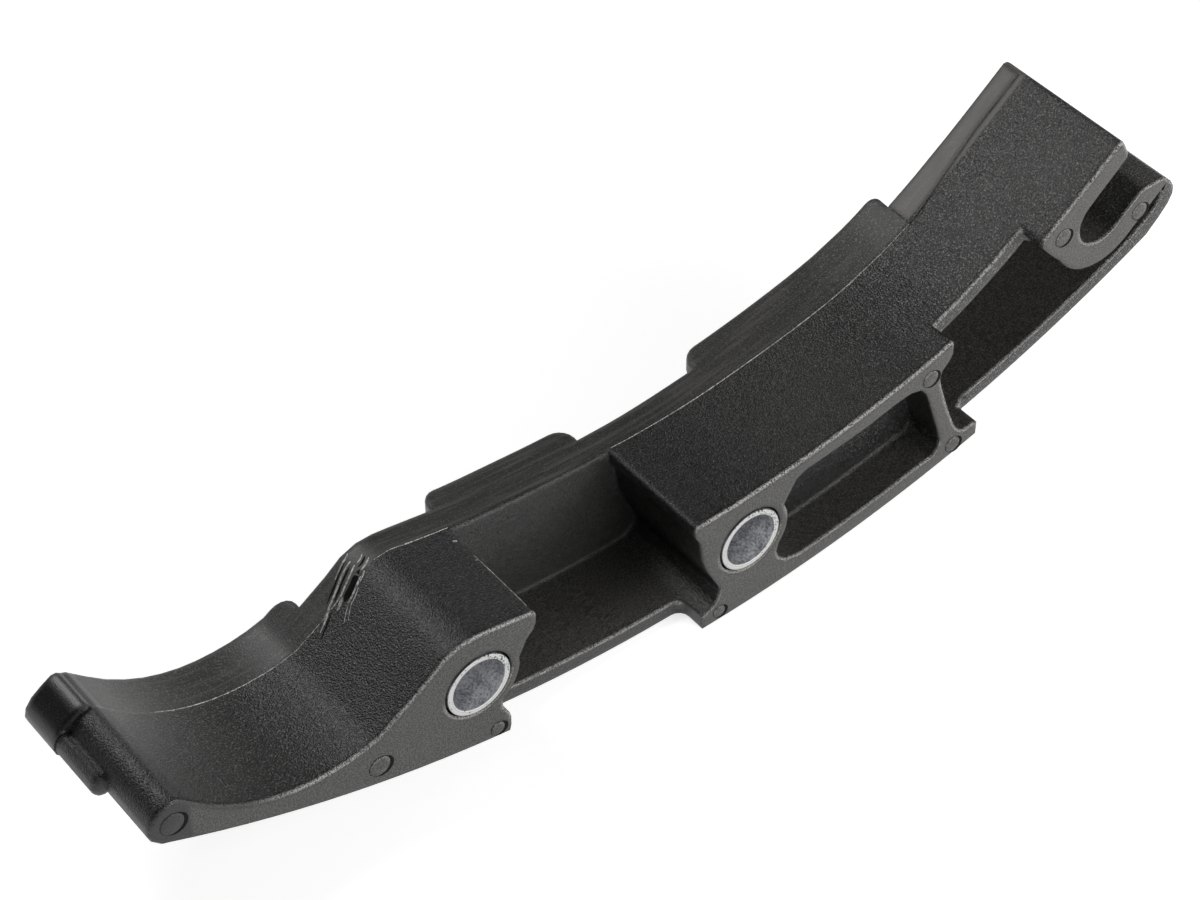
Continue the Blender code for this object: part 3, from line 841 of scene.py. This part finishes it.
@dataclass(frozen=True)
class ZincPlate:
    """Zinc plate on cut steel tube: bright on the ends, blue-grey and mottled in the bore.

    Attributes:
        bright: Colour of the end faces.
        dull: Colour of their turned rings' low places.
        pitted: Colour of their small pits.
        bore: Colour of the bore's wall.
        bore_dark: Colour of its darker mottle.
        second_axis: Place along the rail and height of the second sleeve's axis, in millimetres.
        between: Place along the rail between the sleeves, in millimetres.
        looks_out: How far a face has to look along Y to count as an end face.
        turned_rings: Turned rings per metre.
        ring_tone: Share of the dull colour, by the rings.
        pits: The small pits.
        pit_tone: Where a pit starts.
        corner: Distance in metres to the upper right over which pits gather.
        corner_pits: How much they gather there.
        specks: Fine mottle.
        patches: Wide mottle.
        speck_share: Share of the fine mottle in the bore's.
        mottle: From the bore's colour to its dark mottle.
        bore_roughness: Roughness of the bore, by the specks.
        end_roughness: Roughness of the end faces, by the patches.
        speck_depth: Height of the specks in metres.
        bump_share: Share of that height that is used.
        end_calm: Share of it that the end faces keep.
    """

    bright: Colour = (0.62, 0.62, 0.61)
    dull: Colour = (0.30, 0.30, 0.30)
    pitted: Colour = (0.05, 0.05, 0.05)
    bore: Colour = (0.95, 0.95, 0.96)
    bore_dark: Colour = (0.34, 0.35, 0.38)
    second_axis: Pair = (45.5, -2.06)
    between: float = 22.0
    looks_out: Ease = Ease(0.25, 0.45)
    turned_rings: float = 6500.0
    ring_tone: Ease = Ease(0.30, 0.62, 0.65, 0.0)
    pits: Noise = Noise(3000.0, 1.0, 0.4)
    pit_tone: Ease = Ease(0.66, 0.72)
    corner: Ease = Ease(2.5 * MM, 5.5 * MM)
    corner_pits: float = 0.11
    specks: Noise = Noise(3000.0, 3.0, 0.65)
    patches: Noise = Noise(700.0, 3.0, 0.6)
    speck_share: float = 0.6
    mottle: Ease = Ease(0.40, 0.62)
    bore_roughness: Ease = Ease(0.3, 0.7, 0.30, 0.46)
    end_roughness: Ease = Ease(0.3, 0.7, 0.30, 0.44)
    speck_depth: float = 0.00006
    bump_share: float = 0.8
    end_calm: float = 0.35

    def from_axis(self, sheet: NodeSheet, place: Socket) -> tuple[Socket, Socket]:
        """Measure from the axis of the nearer sleeve.

        Args:
            sheet: The material's node sheet.
            place: Object coordinates.

        Returns:
            How far a point lies to the right of the axis, and above it.
        """
        along, _, height = sheet.split(place)
        first, second = DATUM.at(0.0, 0.0, 0.0), DATUM.at(self.second_axis[0], 0.0, self.second_axis[1])
        at_second = sheet.math("GREATER_THAN", along, DATUM.at(self.between, 0.0, 0.0).x)
        across = sheet.math("SUBTRACT", along, sheet.mix_value(at_second, first.x, second.x))
        above = sheet.math("SUBTRACT", height, sheet.mix_value(at_second, first.z, second.z))
        return across, above

    def end_tone(self, sheet: NodeSheet, place: Socket) -> Socket:
        """Colour an end face: turned rings, and pits that gather at the upper right.

        Args:
            sheet: The material's node sheet.
            place: Object coordinates.

        Returns:
            The colour.
        """
        across, above = self.from_axis(sheet, place)
        radius = sheet.math("SQRT", sheet.math("ADD", sheet.times(across, across), sheet.times(above, above)))
        turned = sheet.rings(radius, self.turned_rings)
        tone = sheet.mix_colour(sheet.ramp(turned, self.ring_tone), self.bright, self.dull)
        corner = sheet.ramp(sheet.math("ADD", across, above), self.corner)
        pit = sheet.math("ADD", sheet.noise(place, self.pits), sheet.times(corner, self.corner_pits))
        return sheet.mix_colour(sheet.ramp(pit, self.pit_tone), tone, self.pitted)

    def build(self) -> bpy.types.Material:
        """Make the material.

        Returns:
            The finished material.
        """
        material, sheet = start_material(Surface.ZINC)
        place = sheet.add("ShaderNodeTexCoord").outputs["Object"]
        _, turn_y, _ = sheet.split(sheet.add("ShaderNodeNewGeometry").outputs["True Normal"])
        on_end = sheet.ramp(sheet.math("ABSOLUTE", turn_y), self.looks_out)
        speck, patch = sheet.noise(place, self.specks), sheet.noise(place, self.patches)
        mottle = sheet.math("ADD", sheet.times(speck, self.speck_share), sheet.times(patch, 1.0 - self.speck_share))
        wall = sheet.mix_colour(sheet.ramp(mottle, self.mottle), self.bore, self.bore_dark)
        tone = sheet.mix_colour(on_end, wall, self.end_tone(sheet, place))
        rough = sheet.mix_value(on_end, sheet.ramp(speck, self.bore_roughness, smooth=False),
                                sheet.ramp(patch, self.end_roughness, smooth=False))
        height = sheet.times(speck, sheet.mix_value(on_end, 1.0, self.end_calm))
        sheet.cover(tone, rough, sheet.bump(height, self.speck_depth, self.bump_share), Metallic=1.0)
        return material


@dataclass(frozen=True)
class PaleFloor:
    """White table that shows the object's shadow.

    Attributes:
        tone: The table's own colour.
        glow: Light it gives to the camera and to reflections only.
    """

    tone: float = 0.82
    glow: float = 0.65

    def build(self) -> bpy.types.Material:
        """Make the material.

        Returns:
            The finished material.
        """
        material, sheet = start_material(Surface.FLOOR)
        path = sheet.add("ShaderNodeLightPath")
        seen = sheet.larger(path.outputs["Is Camera Ray"], path.outputs["Is Glossy Ray"])
        seen = sheet.larger(seen, path.outputs["Is Transmission Ray"])
        matt = sheet.add("ShaderNodeBsdfDiffuse", Color=(self.tone, self.tone, self.tone, 1.0))
        glow = sheet.add("ShaderNodeEmission", Color=(1.0, 1.0, 1.0, 1.0))
        sheet.link(sheet.times(seen, self.glow), glow.inputs["Strength"])
        both = sheet.add("ShaderNodeAddShader")
        sheet.link(matt.outputs[0], both.inputs[0])
        sheet.link(glow.outputs[0], both.inputs[1])
        sheet.show(both, "ShaderNodeOutputMaterial")
        return material


def new_object(name: str, mesh: bpy.types.Mesh, material: bpy.types.Material) -> bpy.types.Object:
    """Put a mesh into the scene with a material.

    Args:
        name: The object's name.
        mesh: Its mesh.
        material: Its material.

    Returns:
        The new object.
    """
    mesh.materials.clear()
    mesh.materials.append(material)
    made = bpy.data.objects.new(name, mesh)
    bpy.context.scene.collection.objects.link(made)
    return made


def mesh_from(sheet: bmesh.types.BMesh, name: str, smooth_below: float) -> bpy.types.Mesh:
    """Turn built faces into a mesh with outward faces and smooth shading, and free them.

    Args:
        sheet: The faces.
        name: The mesh's name.
        smooth_below: Edges flatter than this many degrees are shaded smooth.

    Returns:
        The mesh.
    """
    bmesh.ops.recalc_face_normals(sheet, faces=sheet.faces)
    mesh = bpy.data.meshes.new(name)
    sheet.to_mesh(mesh)
    sheet.free()
    for polygon in mesh.polygons:
        polygon.use_smooth = True
    mesh.set_sharp_from_angle(angle=math.radians(smooth_below))
    return mesh


def round_angles(count: int) -> list[float]:
    """Angles in radians of points spaced evenly round a circle."""
    return [2.0 * math.pi * i / count for i in range(count)]


@dataclass
class GuideRail:
    """The one-piece black moulding.

    Attributes:
        node: The frame node it stands on.
        finish: Its finish.
        merge_within: Points closer than this many metres are one.
        flat_within: Faces that meet at less than this many degrees become one flat face.
        smooth_below: Edges flatter than this many degrees are shaded smooth.
    """

    node: str = "guide_rail"
    finish: ErodedBlack = ErodedBlack()
    merge_within: float = 0.000004
    flat_within: float = 0.3
    smooth_below: float = 34.0

    def body(self, frame: dict) -> bpy.types.Object:
        """Copy the frame's rail as a mesh that can be dressed.


        Returns:
            The dressed rail.
        """
        mesh = frame["nodes"][self.node].data.copy()
        sheet = bmesh.new()
        sheet.from_mesh(mesh)
        bmesh.ops.remove_doubles(sheet, verts=sheet.verts, dist=self.merge_within)
        bmesh.ops.dissolve_limit(sheet, angle_limit=math.radians(self.flat_within), verts=sheet.verts,
                                 edges=sheet.edges)
        for polygon in sheet.faces:
            polygon.smooth = True
        limit = math.radians(self.smooth_below)
        for edge in sheet.edges:
            edge.smooth = len(edge.link_faces) == 2 and edge.calc_face_angle() < limit
        sheet.to_mesh(mesh)
        sheet.free()
        piece = new_object("rail_moulding", mesh, self.finish.build())
        even = piece.modifiers.new("even_shading", "WEIGHTED_NORMAL")
        even.mode = "FACE_AREA"
        even.weight = 100
        even.keep_sharp = True
        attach(piece, "root")
        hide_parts(self.node)
        return piece

    def build(self, frame: dict) -> list[bpy.types.Object]:
        """Build every piece of the moulding.


        Returns:
            The pieces.
        """
        body = self.body(frame)
        return [body] + FaceMarks(body).build()


class Side(Enum):
    """Side of the moulding that a mark lies on."""

    TOP = (0.0, 0.0, -1.0)
    FRONT = (0.0, 1.0, 0.0)


Path = tuple[Pair, ...]


@dataclass(frozen=True)
class Ribbon:
    """A thin raised line laid on a face: pale torn nylon, or a dark line of painted shade.

    Attributes:
        side: The side it lies on.
        path: Points in millimetres from the left sleeve: x and depth on the top, x and height on the front.
        width: Its widest width in millimetres.
        rise: How far it stands proud in millimetres.
        surface: Its finish.
        tail: Share of the width that is left at the ends.
    """

    side: Side
    path: Path
    width: float
    rise: float
    surface: Surface = Surface.TORN_NYLON
    tail: float = 0.35


@dataclass
class FaceMarks:
    """Marks on the moulding's faces: the parting line, the torn gate with painted shade in its hollows, scratches, a
    painted highlight line, and ejector marks with painted shadow beside them.

    Attributes:
        rail: The dressed moulding that they lie on.
        step: Spacing of the points of a laid line in millimetres.
        ribbons: The laid lines.
        profile: Section of a laid line: share of the half width, and share of the rise. What is
            below 0 is the depth in millimetres to which the line's edge is sunk.
        taper: Share of its length over which a laid line narrows to its ends.
        waver: Share of the width by which a laid line wavers.
        waves: Phase per point of the two waves that it wavers by.
        look_from: Height above the top, and place before the front, from which a mark is laid,
            in millimetres.
        ejectors: Place along the rail, height and radius of each ejector mark in millimetres.
        ejector_rise: How far their pads stand proud in millimetres.
        ejector_rims: Rims of a pad: how far inside its radius in millimetres, and share of the rise.
        ejector_points: Points round a pad.
        shade_lean: Direction in degrees, up from the right, in which a pad's painted shadow is widest.
        shade_width: Narrowest width of the shade in millimetres, and what is added at the widest.
        shade_narrows: Power by which it narrows to the sides.
        shade_under: How far the shade runs under the pad in millimetres.
        shade_rise: How far the shade stands proud in millimetres.
        smooth_below: Edges flatter than this many degrees are shaded smooth.
    """

    rail: bpy.types.Object
    step: float = 0.5
    profile: Path = ((-1.0, -0.03), (-0.45, 0.8), (0.1, 1.0), (0.55, 0.7), (1.0, -0.03))
    taper: float = 0.25
    waver: float = 0.22
    waves: Pair = (5.3, 2.1)
    look_from: Pair = (60.0, -20.0)
    ribbons: tuple[Ribbon, ...] = (
        Ribbon(Side.TOP, ((-36.5, 19.1), (-30.0, 19.1), (-22.0, 18.9), (-14.9, 18.7), (-9.9, 18.7)), 0.20, 0.05),
        Ribbon(Side.TOP, ((-2.4, 19.1), (0.2, 19.3), (3.2, 19.1), (9.2, 19.0)), 0.20, 0.05),
        Ribbon(Side.TOP, ((36.4, 19.0), (41.5, 18.9), (50.9, 18.6), (60.0, 18.6), (70.9, 18.5), (83.2, 18.6),
                          (89.0, 18.5)), 0.20, 0.05),
        # The torn gate on the hump: pale torn strands, and dark ribbons of painted shade where its hollows lie.
        Ribbon(Side.TOP, ((-4.5, 19.5), (-5.4, 19.1), (-6.5, 18.6), (-7.6, 18.2), (-8.1, 18.1)), 1.45, 0.02,
               Surface.PAINTED_SHADE, 0.08),
        Ribbon(Side.TOP, ((-4.6, 20.5), (-5.6, 20.0), (-6.9, 19.5), (-8.2, 19.0), (-9.6, 18.8)), 0.30, 0.12),
        Ribbon(Side.TOP, ((-5.0, 20.9), (-6.2, 20.5), (-7.6, 19.9), (-8.8, 19.2)), 0.42, 0.03, Surface.PAINTED_SHADE),
        Ribbon(Side.TOP, ((-4.6, 21.4), (-5.9, 21.1), (-7.3, 20.5), (-9.4, 19.4), (-11.0, 18.6)), 0.34, 0.12),
        Ribbon(Side.TOP, ((-5.2, 21.9), (-6.6, 21.4), (-8.0, 20.7), (-9.6, 19.9)), 0.40, 0.03, Surface.PAINTED_SHADE),
        Ribbon(Side.TOP, ((-5.0, 22.3), (-6.0, 21.9), (-7.2, 21.4)), 0.24, 0.08),
        Ribbon(Side.TOP, ((-5.0, 18.5), (-5.9, 18.1), (-6.9, 17.7), (-7.9, 17.4)), 0.34, 0.14),
        Ribbon(Side.TOP, ((-7.9, 18.8), (-8.6, 18.3), (-9.3, 17.9)), 0.50, 0.12),
        Ribbon(Side.TOP, ((-4.2, 18.8), (-4.9, 18.3), (-5.5, 18.0)), 0.24, 0.10),
        Ribbon(Side.TOP, ((-6.0, 17.7), (-6.9, 17.2), (-7.6, 17.0)), 0.20, 0.08),
        Ribbon(Side.TOP, ((-8.3, 20.0), (-9.6, 19.2), (-11.2, 18.2), (-12.3, 17.7)), 0.26, 0.09),
        Ribbon(Side.TOP, ((-4.2, 22.6), (-5.0, 22.2), (-5.7, 21.9)), 0.22, 0.08),
        Ribbon(Side.TOP, ((-9.9, 18.5), (-11.2, 17.7), (-12.8, 16.9)), 0.35, 0.02, Surface.PAINTED_SHADE),
        Ribbon(Side.TOP, ((-2.9, 20.5), (-3.7, 20.0), (-4.5, 19.9)), 0.45, 0.02, Surface.PAINTED_SHADE),
        Ribbon(Side.TOP, ((-2.7, 19.9), (-3.5, 19.5), (-4.4, 19.2)), 0.28, 0.10),
        Ribbon(Side.TOP, ((-3.0, 21.0), (-3.7, 20.6), (-4.2, 20.5)), 0.22, 0.08),
        Ribbon(Side.TOP, ((-7.9, 17.3), (-8.9, 16.6), (-9.6, 15.9)), 0.14, 0.04),
        Ribbon(Side.TOP, ((-7.4, 17.2), (-8.4, 16.4), (-9.2, 15.6)), 0.14, 0.04),
        Ribbon(Side.TOP, ((8.1, 16.4), (8.7, 16.2)), 0.5, 0.07),
        # A pale line along the left block's right top edge: a painted highlight, laid in the torn nylon finish.
        Ribbon(Side.TOP, ((8.95, 13.0), (9.0, 9.0), (9.0, 5.0), (8.95, 1.4)), 0.14, 0.03),
        Ribbon(Side.TOP, ((8.5, 11.9), (8.8, 11.8)), 0.22, 0.04),
    )
    ejectors: tuple[tuple[float, float, float], ...] = (
        (-45.7, 6.35, 1.7), (-15.75, -4.7, 1.6), (2.8, -10.55, 1.1), (40.4, -12.95, 1.0), (77.2, 9.35, 1.35),
        (82.85, -6.4, 1.3), (100.45, 22.5, 1.4), (115.55, 19.55, 1.4),
    )
    ejector_rise: float = 0.10
    ejector_rims: Path = ((0.12, 1.0), (0.03, 0.7), (0.0, -0.3))
    ejector_points: int = 40
    shade_lean: float = -32.0
    shade_width: Pair = (0.06, 0.62)
    shade_narrows: float = 1.3
    shade_under: float = 0.02
    shade_rise: float = 0.012
    smooth_below: float = 50.0

    def __post_init__(self) -> None:
        """Make the marks' finishes and prepare the search for the face under a mark."""
        self.finishes = {mark.surface: mark.build() for mark in (
            MarkFinish(Surface.TORN_NYLON, (0.12, 0.118, 0.115), (0.60, 0.59, 0.57), 0.40),
            MarkFinish(Surface.PAINTED_SHADE, (0.001, 0.001, 0.001), (0.006, 0.006, 0.006), 0.7, 0.1))}
        sheet = bmesh.new()
        sheet.from_mesh(self.rail.data)
        self.tree = BVHTree.FromBMesh(sheet)
        sheet.free()

    def foot(self, side: Side, u: float, v: float) -> tuple[Vector, Vector]:
        """Find the face under a point.

        Args:
            side: The side looked at.
            u: Millimetres along the rail.
            v: Depth on the top, or height on the front, in millimetres.

        Returns:
            The point on the face and the face's normal.
        """
        above, before = self.look_from
        start = DATUM.at(u, v, above) if side is Side.TOP else DATUM.at(u, before, v)
        hit, normal, _, _ = self.tree.ray_cast(start, Vector(side.value))
        if hit is None:
            raise ValueError(f"no face under the mark at {u}, {v}")
        return hit, normal

    def smooth_path(self, path: Sequence[tuple[float, float]]) -> list[tuple[float, float]]:
        """Fill a path with points along a smooth curve through it.

        Args:
            path: Its points in millimetres.

        Returns:
            The closer points.
        """
        points = [Vector(p) for p in path]
        filled: list[tuple[float, float]] = []
        for i in range(len(points) - 1):
            a, b = points[max(i - 1, 0)], points[i]
            c, d = points[i + 1], points[min(i + 2, len(points) - 1)]
            count = max(2, math.ceil((c - b).length / self.step))
            for j in range(count):
                t = j / count
                point = 0.5 * (2.0 * b + (c - a) * t + (2.0 * a - 5.0 * b + 4.0 * c - d) * t * t
                               + (3.0 * b - a - 3.0 * c + d) * t ** 3)
                filled.append((point.x, point.y))
        filled.append((points[-1].x, points[-1].y))
        return filled

    def ribbon(self, sheet: bmesh.types.BMesh, mark: Ribbon) -> None:
        """Lay one ribbon into a mesh.

        Args:
            sheet: The mesh that it goes into.
            mark: The ribbon.
        """
        path = self.smooth_path(mark.path)
        rows = []
        for i, (u, v) in enumerate(path):
            before, after = path[max(i - 1, 0)], path[min(i + 1, len(path) - 1)]
            ahead = Vector((after[0] - before[0], after[1] - before[1])).normalized()
            aside = Vector((-ahead.y, ahead.x))
            t = i / (len(path) - 1)
            share = mark.tail + (1.0 - mark.tail) * min(1.0, min(t, 1.0 - t) / self.taper)
            waver = 1.0 + self.waver * math.sin(self.waves[0] * i) * math.cos(self.waves[1] * i)
            half = 0.5 * mark.width * share * waver
            row = []
            for across, lift in self.profile:
                point, normal = self.foot(mark.side, u + aside.x * half * across, v + aside.y * half * across)
                height = mark.rise * lift if lift > 0.0 else lift
                row.append(sheet.verts.new(point + normal * height * MM))
            rows.append(row)
        for here, there in zip(rows, rows[1:]):
            for a, b, c, d in zip(here, here[1:], there[1:], there):
                sheet.faces.new((a, b, c, d))
        sheet.faces.new(rows[0][::-1])
        sheet.faces.new(rows[-1])

    def ejector(self, pad: bmesh.types.BMesh, shade: bmesh.types.BMesh, x: float, z: float,
                radius: float) -> None:
        """Lay one ejector mark: a low round pad, and a painted shadow in the step around it.

        Args:
            pad: Mesh that the pad goes into.
            shade: Mesh that the shade goes into.
            x: Millimetres along the rail.
            z: Millimetres above the sleeve's axis.
            radius: Its radius in millimetres.
        """
        def on_face(r: float, proud: float, angle: float) -> Vector:
            """Frame place of a point round the mark's centre."""
            return DATUM.at(x, 0.0, z) + Vector((r * math.cos(angle), -proud, r * math.sin(angle))) * MM

        count, rise = self.ejector_points, self.ejector_rise
        angles = round_angles(count)
        centre = pad.verts.new(on_face(0.0, rise, 0.0))
        rings = [[pad.verts.new(on_face(radius - inset, share * rise, a)) for a in angles]
                 for inset, share in self.ejector_rims]
        for i in range(count):
            j = (i + 1) % count
            pad.faces.new((centre, rings[0][i], rings[0][j]))
            for inner, outer in zip(rings, rings[1:]):
                pad.faces.new((inner[i], outer[i], outer[j], inner[j]))
        # Painted shadow: a dark crescent round the pad, widest to the lower right.
        inner, outer = [], []
        for a in angles:
            lean = max(0.0, math.cos(a - math.radians(self.shade_lean)))
            width = self.shade_width[0] + self.shade_width[1] * lean ** self.shade_narrows
            for ring, r in ((inner, radius - self.shade_under), (outer, radius + width)):
                ring.append(shade.verts.new(on_face(r, self.shade_rise, a)))
        for i in range(count):
            j = (i + 1) % count
            shade.faces.new((inner[i], outer[i], outer[j], inner[j]))

    def finish(self, name: str, sheet: bmesh.types.BMesh, material: bpy.types.Material) -> bpy.types.Object:
        """Turn a mesh of marks into a piece.

        Args:
            name: The piece's name.
            sheet: Its mesh, which is freed.
            material: Its finish.

        Returns:
            The piece.
        """
        piece = new_object(name, mesh_from(sheet, name, self.smooth_below), material)
        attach(piece, "root")
        return piece

    def build(self) -> list[bpy.types.Object]:
        """Lay every mark.

        Returns:
            The pieces.
        """
        torn, shade, pads = bmesh.new(), bmesh.new(), bmesh.new()
        for mark in self.ribbons:
            self.ribbon(torn if mark.surface is Surface.TORN_NYLON else shade, mark)
        for x, z, radius in self.ejectors:
            self.ejector(pads, shade, x, z, radius)
        return [self.finish("torn_flash", torn, self.finishes[Surface.TORN_NYLON]),
                self.finish("painted_shade", shade, self.finishes[Surface.PAINTED_SHADE]),
                self.finish("ejector_pads", pads, self.rail.data.materials[0])]


@dataclass
class SteelSleeve:
    """One pressed-in sleeve, turned over the frame's own.

    Attributes:
        node: The frame node it replaces, which gives its axis and its length.
        finish: Its finish.
        segments: Faces round it.
        outer: Its outer radius in metres.
        bore: Its bore's radius in metres.
        chamfer: Width of its broken edges in metres.
        groove: Half the width of the fine turned groove in its front ring, in metres.
        soften: Share of a chamfer or groove by which its middle is drawn in.
        bore_edge: Depth of the bore's broken edge, as a share of the chamfer.
        smooth_below: Edges flatter than this many degrees are shaded smooth.
    """

    node: str
    finish: bpy.types.Material
    segments: int = 128
    outer: float = 5.0 * MM
    bore: float = 4.06 * MM
    chamfer: float = 0.25 * MM
    groove: float = 0.08 * MM
    soften: float = 0.3
    bore_edge: float = 1.2
    smooth_below: float = 40.0

    def section(self, front: float, back: float) -> list[tuple[float, float]]:
        """Draw the wall's section.

        Args:
            front: Frame Y of the front ring.
            back: Frame Y of the back ring.

        Returns:
            Radius and frame Y of its points in turn.
        """
        inner, outer, cut, groove = self.bore, self.outer, self.chamfer, self.groove
        middle = (inner + outer) / 2.0
        near, deep = self.soften * cut, self.bore_edge * cut
        front_ring = [(inner, front + deep), (inner + near, front + near), (inner + cut, front),
                      (middle - groove, front), (middle, front + self.soften * groove), (middle + groove, front),
                      (outer - cut, front), (outer - near, front + near), (outer, front + cut)]
        back_ring = [(outer, back - cut), (outer - near, back - near), (outer - cut, back),
                     (inner + cut, back), (inner + near, back - near), (inner, back - deep)]
        return front_ring + back_ring

    def build(self) -> bpy.types.Object:
        """Turn the sleeve.

        Returns:
            The sleeve.
        """
        low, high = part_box(self.node)
        centre = (low + high) / 2.0
        section = self.section(low.y, high.y)
        sheet = bmesh.new()
        rings = [[sheet.verts.new((centre.x + r * math.cos(a), y, centre.z + r * math.sin(a))) for r, y in section]
                 for a in round_angles(self.segments)]
        for here, there in zip(rings, rings[1:] + rings[:1]):
            for j in range(len(section)):
                k = (j + 1) % len(section)
                sheet.faces.new((here[j], there[j], there[k], here[k]))
        name = self.node + "_turned"
        piece = new_object(name, mesh_from(sheet, name, self.smooth_below), self.finish)
        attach(piece, "root")
        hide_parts(self.node)
        return piece


@dataclass(frozen=True)
class SoftLamp:
    """One oblong soft light that looks at the object.

    Attributes:
        name: Its name.
        at: Its place in metres.
        size: Its width and height in metres.
        power: Its power in watts.
    """

    name: str
    at: tuple[float, float, float]
    size: tuple[float, float]
    power: float

    def hang(self) -> None:
        """Put the light into the scene."""
        data = bpy.data.lights.new(self.name, "AREA")
        data.shape = "RECTANGLE"
        data.size, data.size_y = self.size
        data.energy = self.power
        lamp = bpy.data.objects.new(self.name, data)
        lamp.location = self.at
        lamp.rotation_euler = (-Vector(self.at)).to_track_quat("-Z", "Y").to_euler()
        bpy.context.scene.collection.objects.link(lamp)


@dataclass(frozen=True)
class PhotoCamera:
    """The camera, where the photograph was taken.

    Attributes:
        lens: Focal length in millimetres.
        sensor: Width of its sensor in millimetres.
        at: Its place in metres.
        right: Direction of the picture's right.
        up: Direction of the picture's top.
    """

    lens: float = 95.505
    sensor: float = 36.0
    at: tuple[float, float, float] = (-0.19355, -0.2372, 0.3209)
    right: tuple[float, float, float] = (0.78833, -0.61525, 0.0)
    up: tuple[float, float, float] = (0.42877, 0.54939, 0.71717)

    def stand(self) -> None:
        """Put the camera into the scene."""
        data = bpy.data.cameras.new("camera")
        data.sensor_width = self.sensor
        data.lens = self.lens
        camera = bpy.data.objects.new("camera", data)
        right, up = Vector(self.right), Vector(self.up)
        turn = Matrix((right, up, right.cross(up))).transposed().to_4x4()
        turn.translation = Vector(self.at)
        camera.matrix_world = turn
        bpy.context.scene.collection.objects.link(camera)
        bpy.context.scene.camera = camera


@dataclass
class Studio:
    """Floor, lights, backdrop and the photograph's camera.

    Attributes:
        floor_half: Half the floor's width in metres.
        floor_drop: How far the floor lies below the object in metres, so that their faces don't meet.
        sweep: The light by a ray's height: the white sweep gives way to the dim ceiling.
        left: Share of that light by a ray's X: the dimmer left gives way to full light.
        mirrored: How much of the white that the camera sees is mirrored, by a ray's height.
        lamps: The soft lights.
        camera: The camera.
    """

    floor_half: float = 6.0
    floor_drop: float = 0.00002
    sweep: Ease = Ease(0.10, 0.74, 1.0, 0.05)
    left: Ease = Ease(-0.9, 0.1, 0.2, 1.0)
    mirrored: Ease = Ease(0.02, 0.16, 1.0, 0.0)
    lamps: tuple[SoftLamp, ...] = (
        SoftLamp("key_soft", (-0.09, 0.157, 0.239), (0.14, 0.14), 0.33),
        SoftLamp("front_soft", (0.17, -0.34, 0.19), (0.50, 0.10), 1.5),
    )
    camera: PhotoCamera = PhotoCamera()

    def floor(self) -> bpy.types.Object:
        """Lay the floor under the object.

        Returns:
            The floor.
        """
        mesh = bpy.data.meshes.new("floor")
        sheet = bmesh.new()
        bmesh.ops.create_grid(sheet, x_segments=1, y_segments=1, size=self.floor_half)
        sheet.to_mesh(mesh)
        sheet.free()
        made = new_object("floor", mesh, PaleFloor().build())
        made.location = (0.0, 0.0, -self.floor_drop)
        return made

    def backdrop(self) -> None:
        """Surround the object with a white sweep near the horizon under a dim ceiling."""
        world = bpy.data.worlds.new("studio")
        bpy.context.scene.world = world
        world.use_nodes = True
        sheet = NodeSheet(world.node_tree)
        across, _, height = sheet.split(sheet.add("ShaderNodeTexCoord").outputs["Generated"])
        light = sheet.times(sheet.ramp(height, self.sweep), sheet.ramp(across, self.left))
        path = sheet.add("ShaderNodeLightPath")
        bounced = sheet.larger(path.outputs["Is Glossy Ray"], path.outputs["Is Transmission Ray"])
        shown = sheet.times(bounced, sheet.ramp(height, self.mirrored))
        seen = sheet.larger(path.outputs["Is Camera Ray"], shown)
        back = sheet.add("ShaderNodeBackground")
        sheet.link(sheet.mix_value(seen, light, 1.0), back.inputs["Strength"])
        sheet.show(back, "ShaderNodeOutputWorld")

    def build(self) -> None:
        """Set the whole stage."""
        self.floor()
        self.backdrop()
        for lamp in self.lamps:
            lamp.hang()
        self.camera.stand()
        bpy.context.scene.view_settings.view_transform = "Standard"


def main() -> None:
    """Build the guide and its stage."""
    logging.basicConfig(level=logging.INFO)
    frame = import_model()
    for piece in GuideRail().build(frame):
        LOG.info("built %s", piece.name)
    zinc = ZincPlate().build()
    for node in ("left_sleeve", "middle_sleeve"):
        LOG.info("built %s", SteelSleeve(node, zinc).build().name)
    Studio().build()


if __name__ == "__main__":
    main()
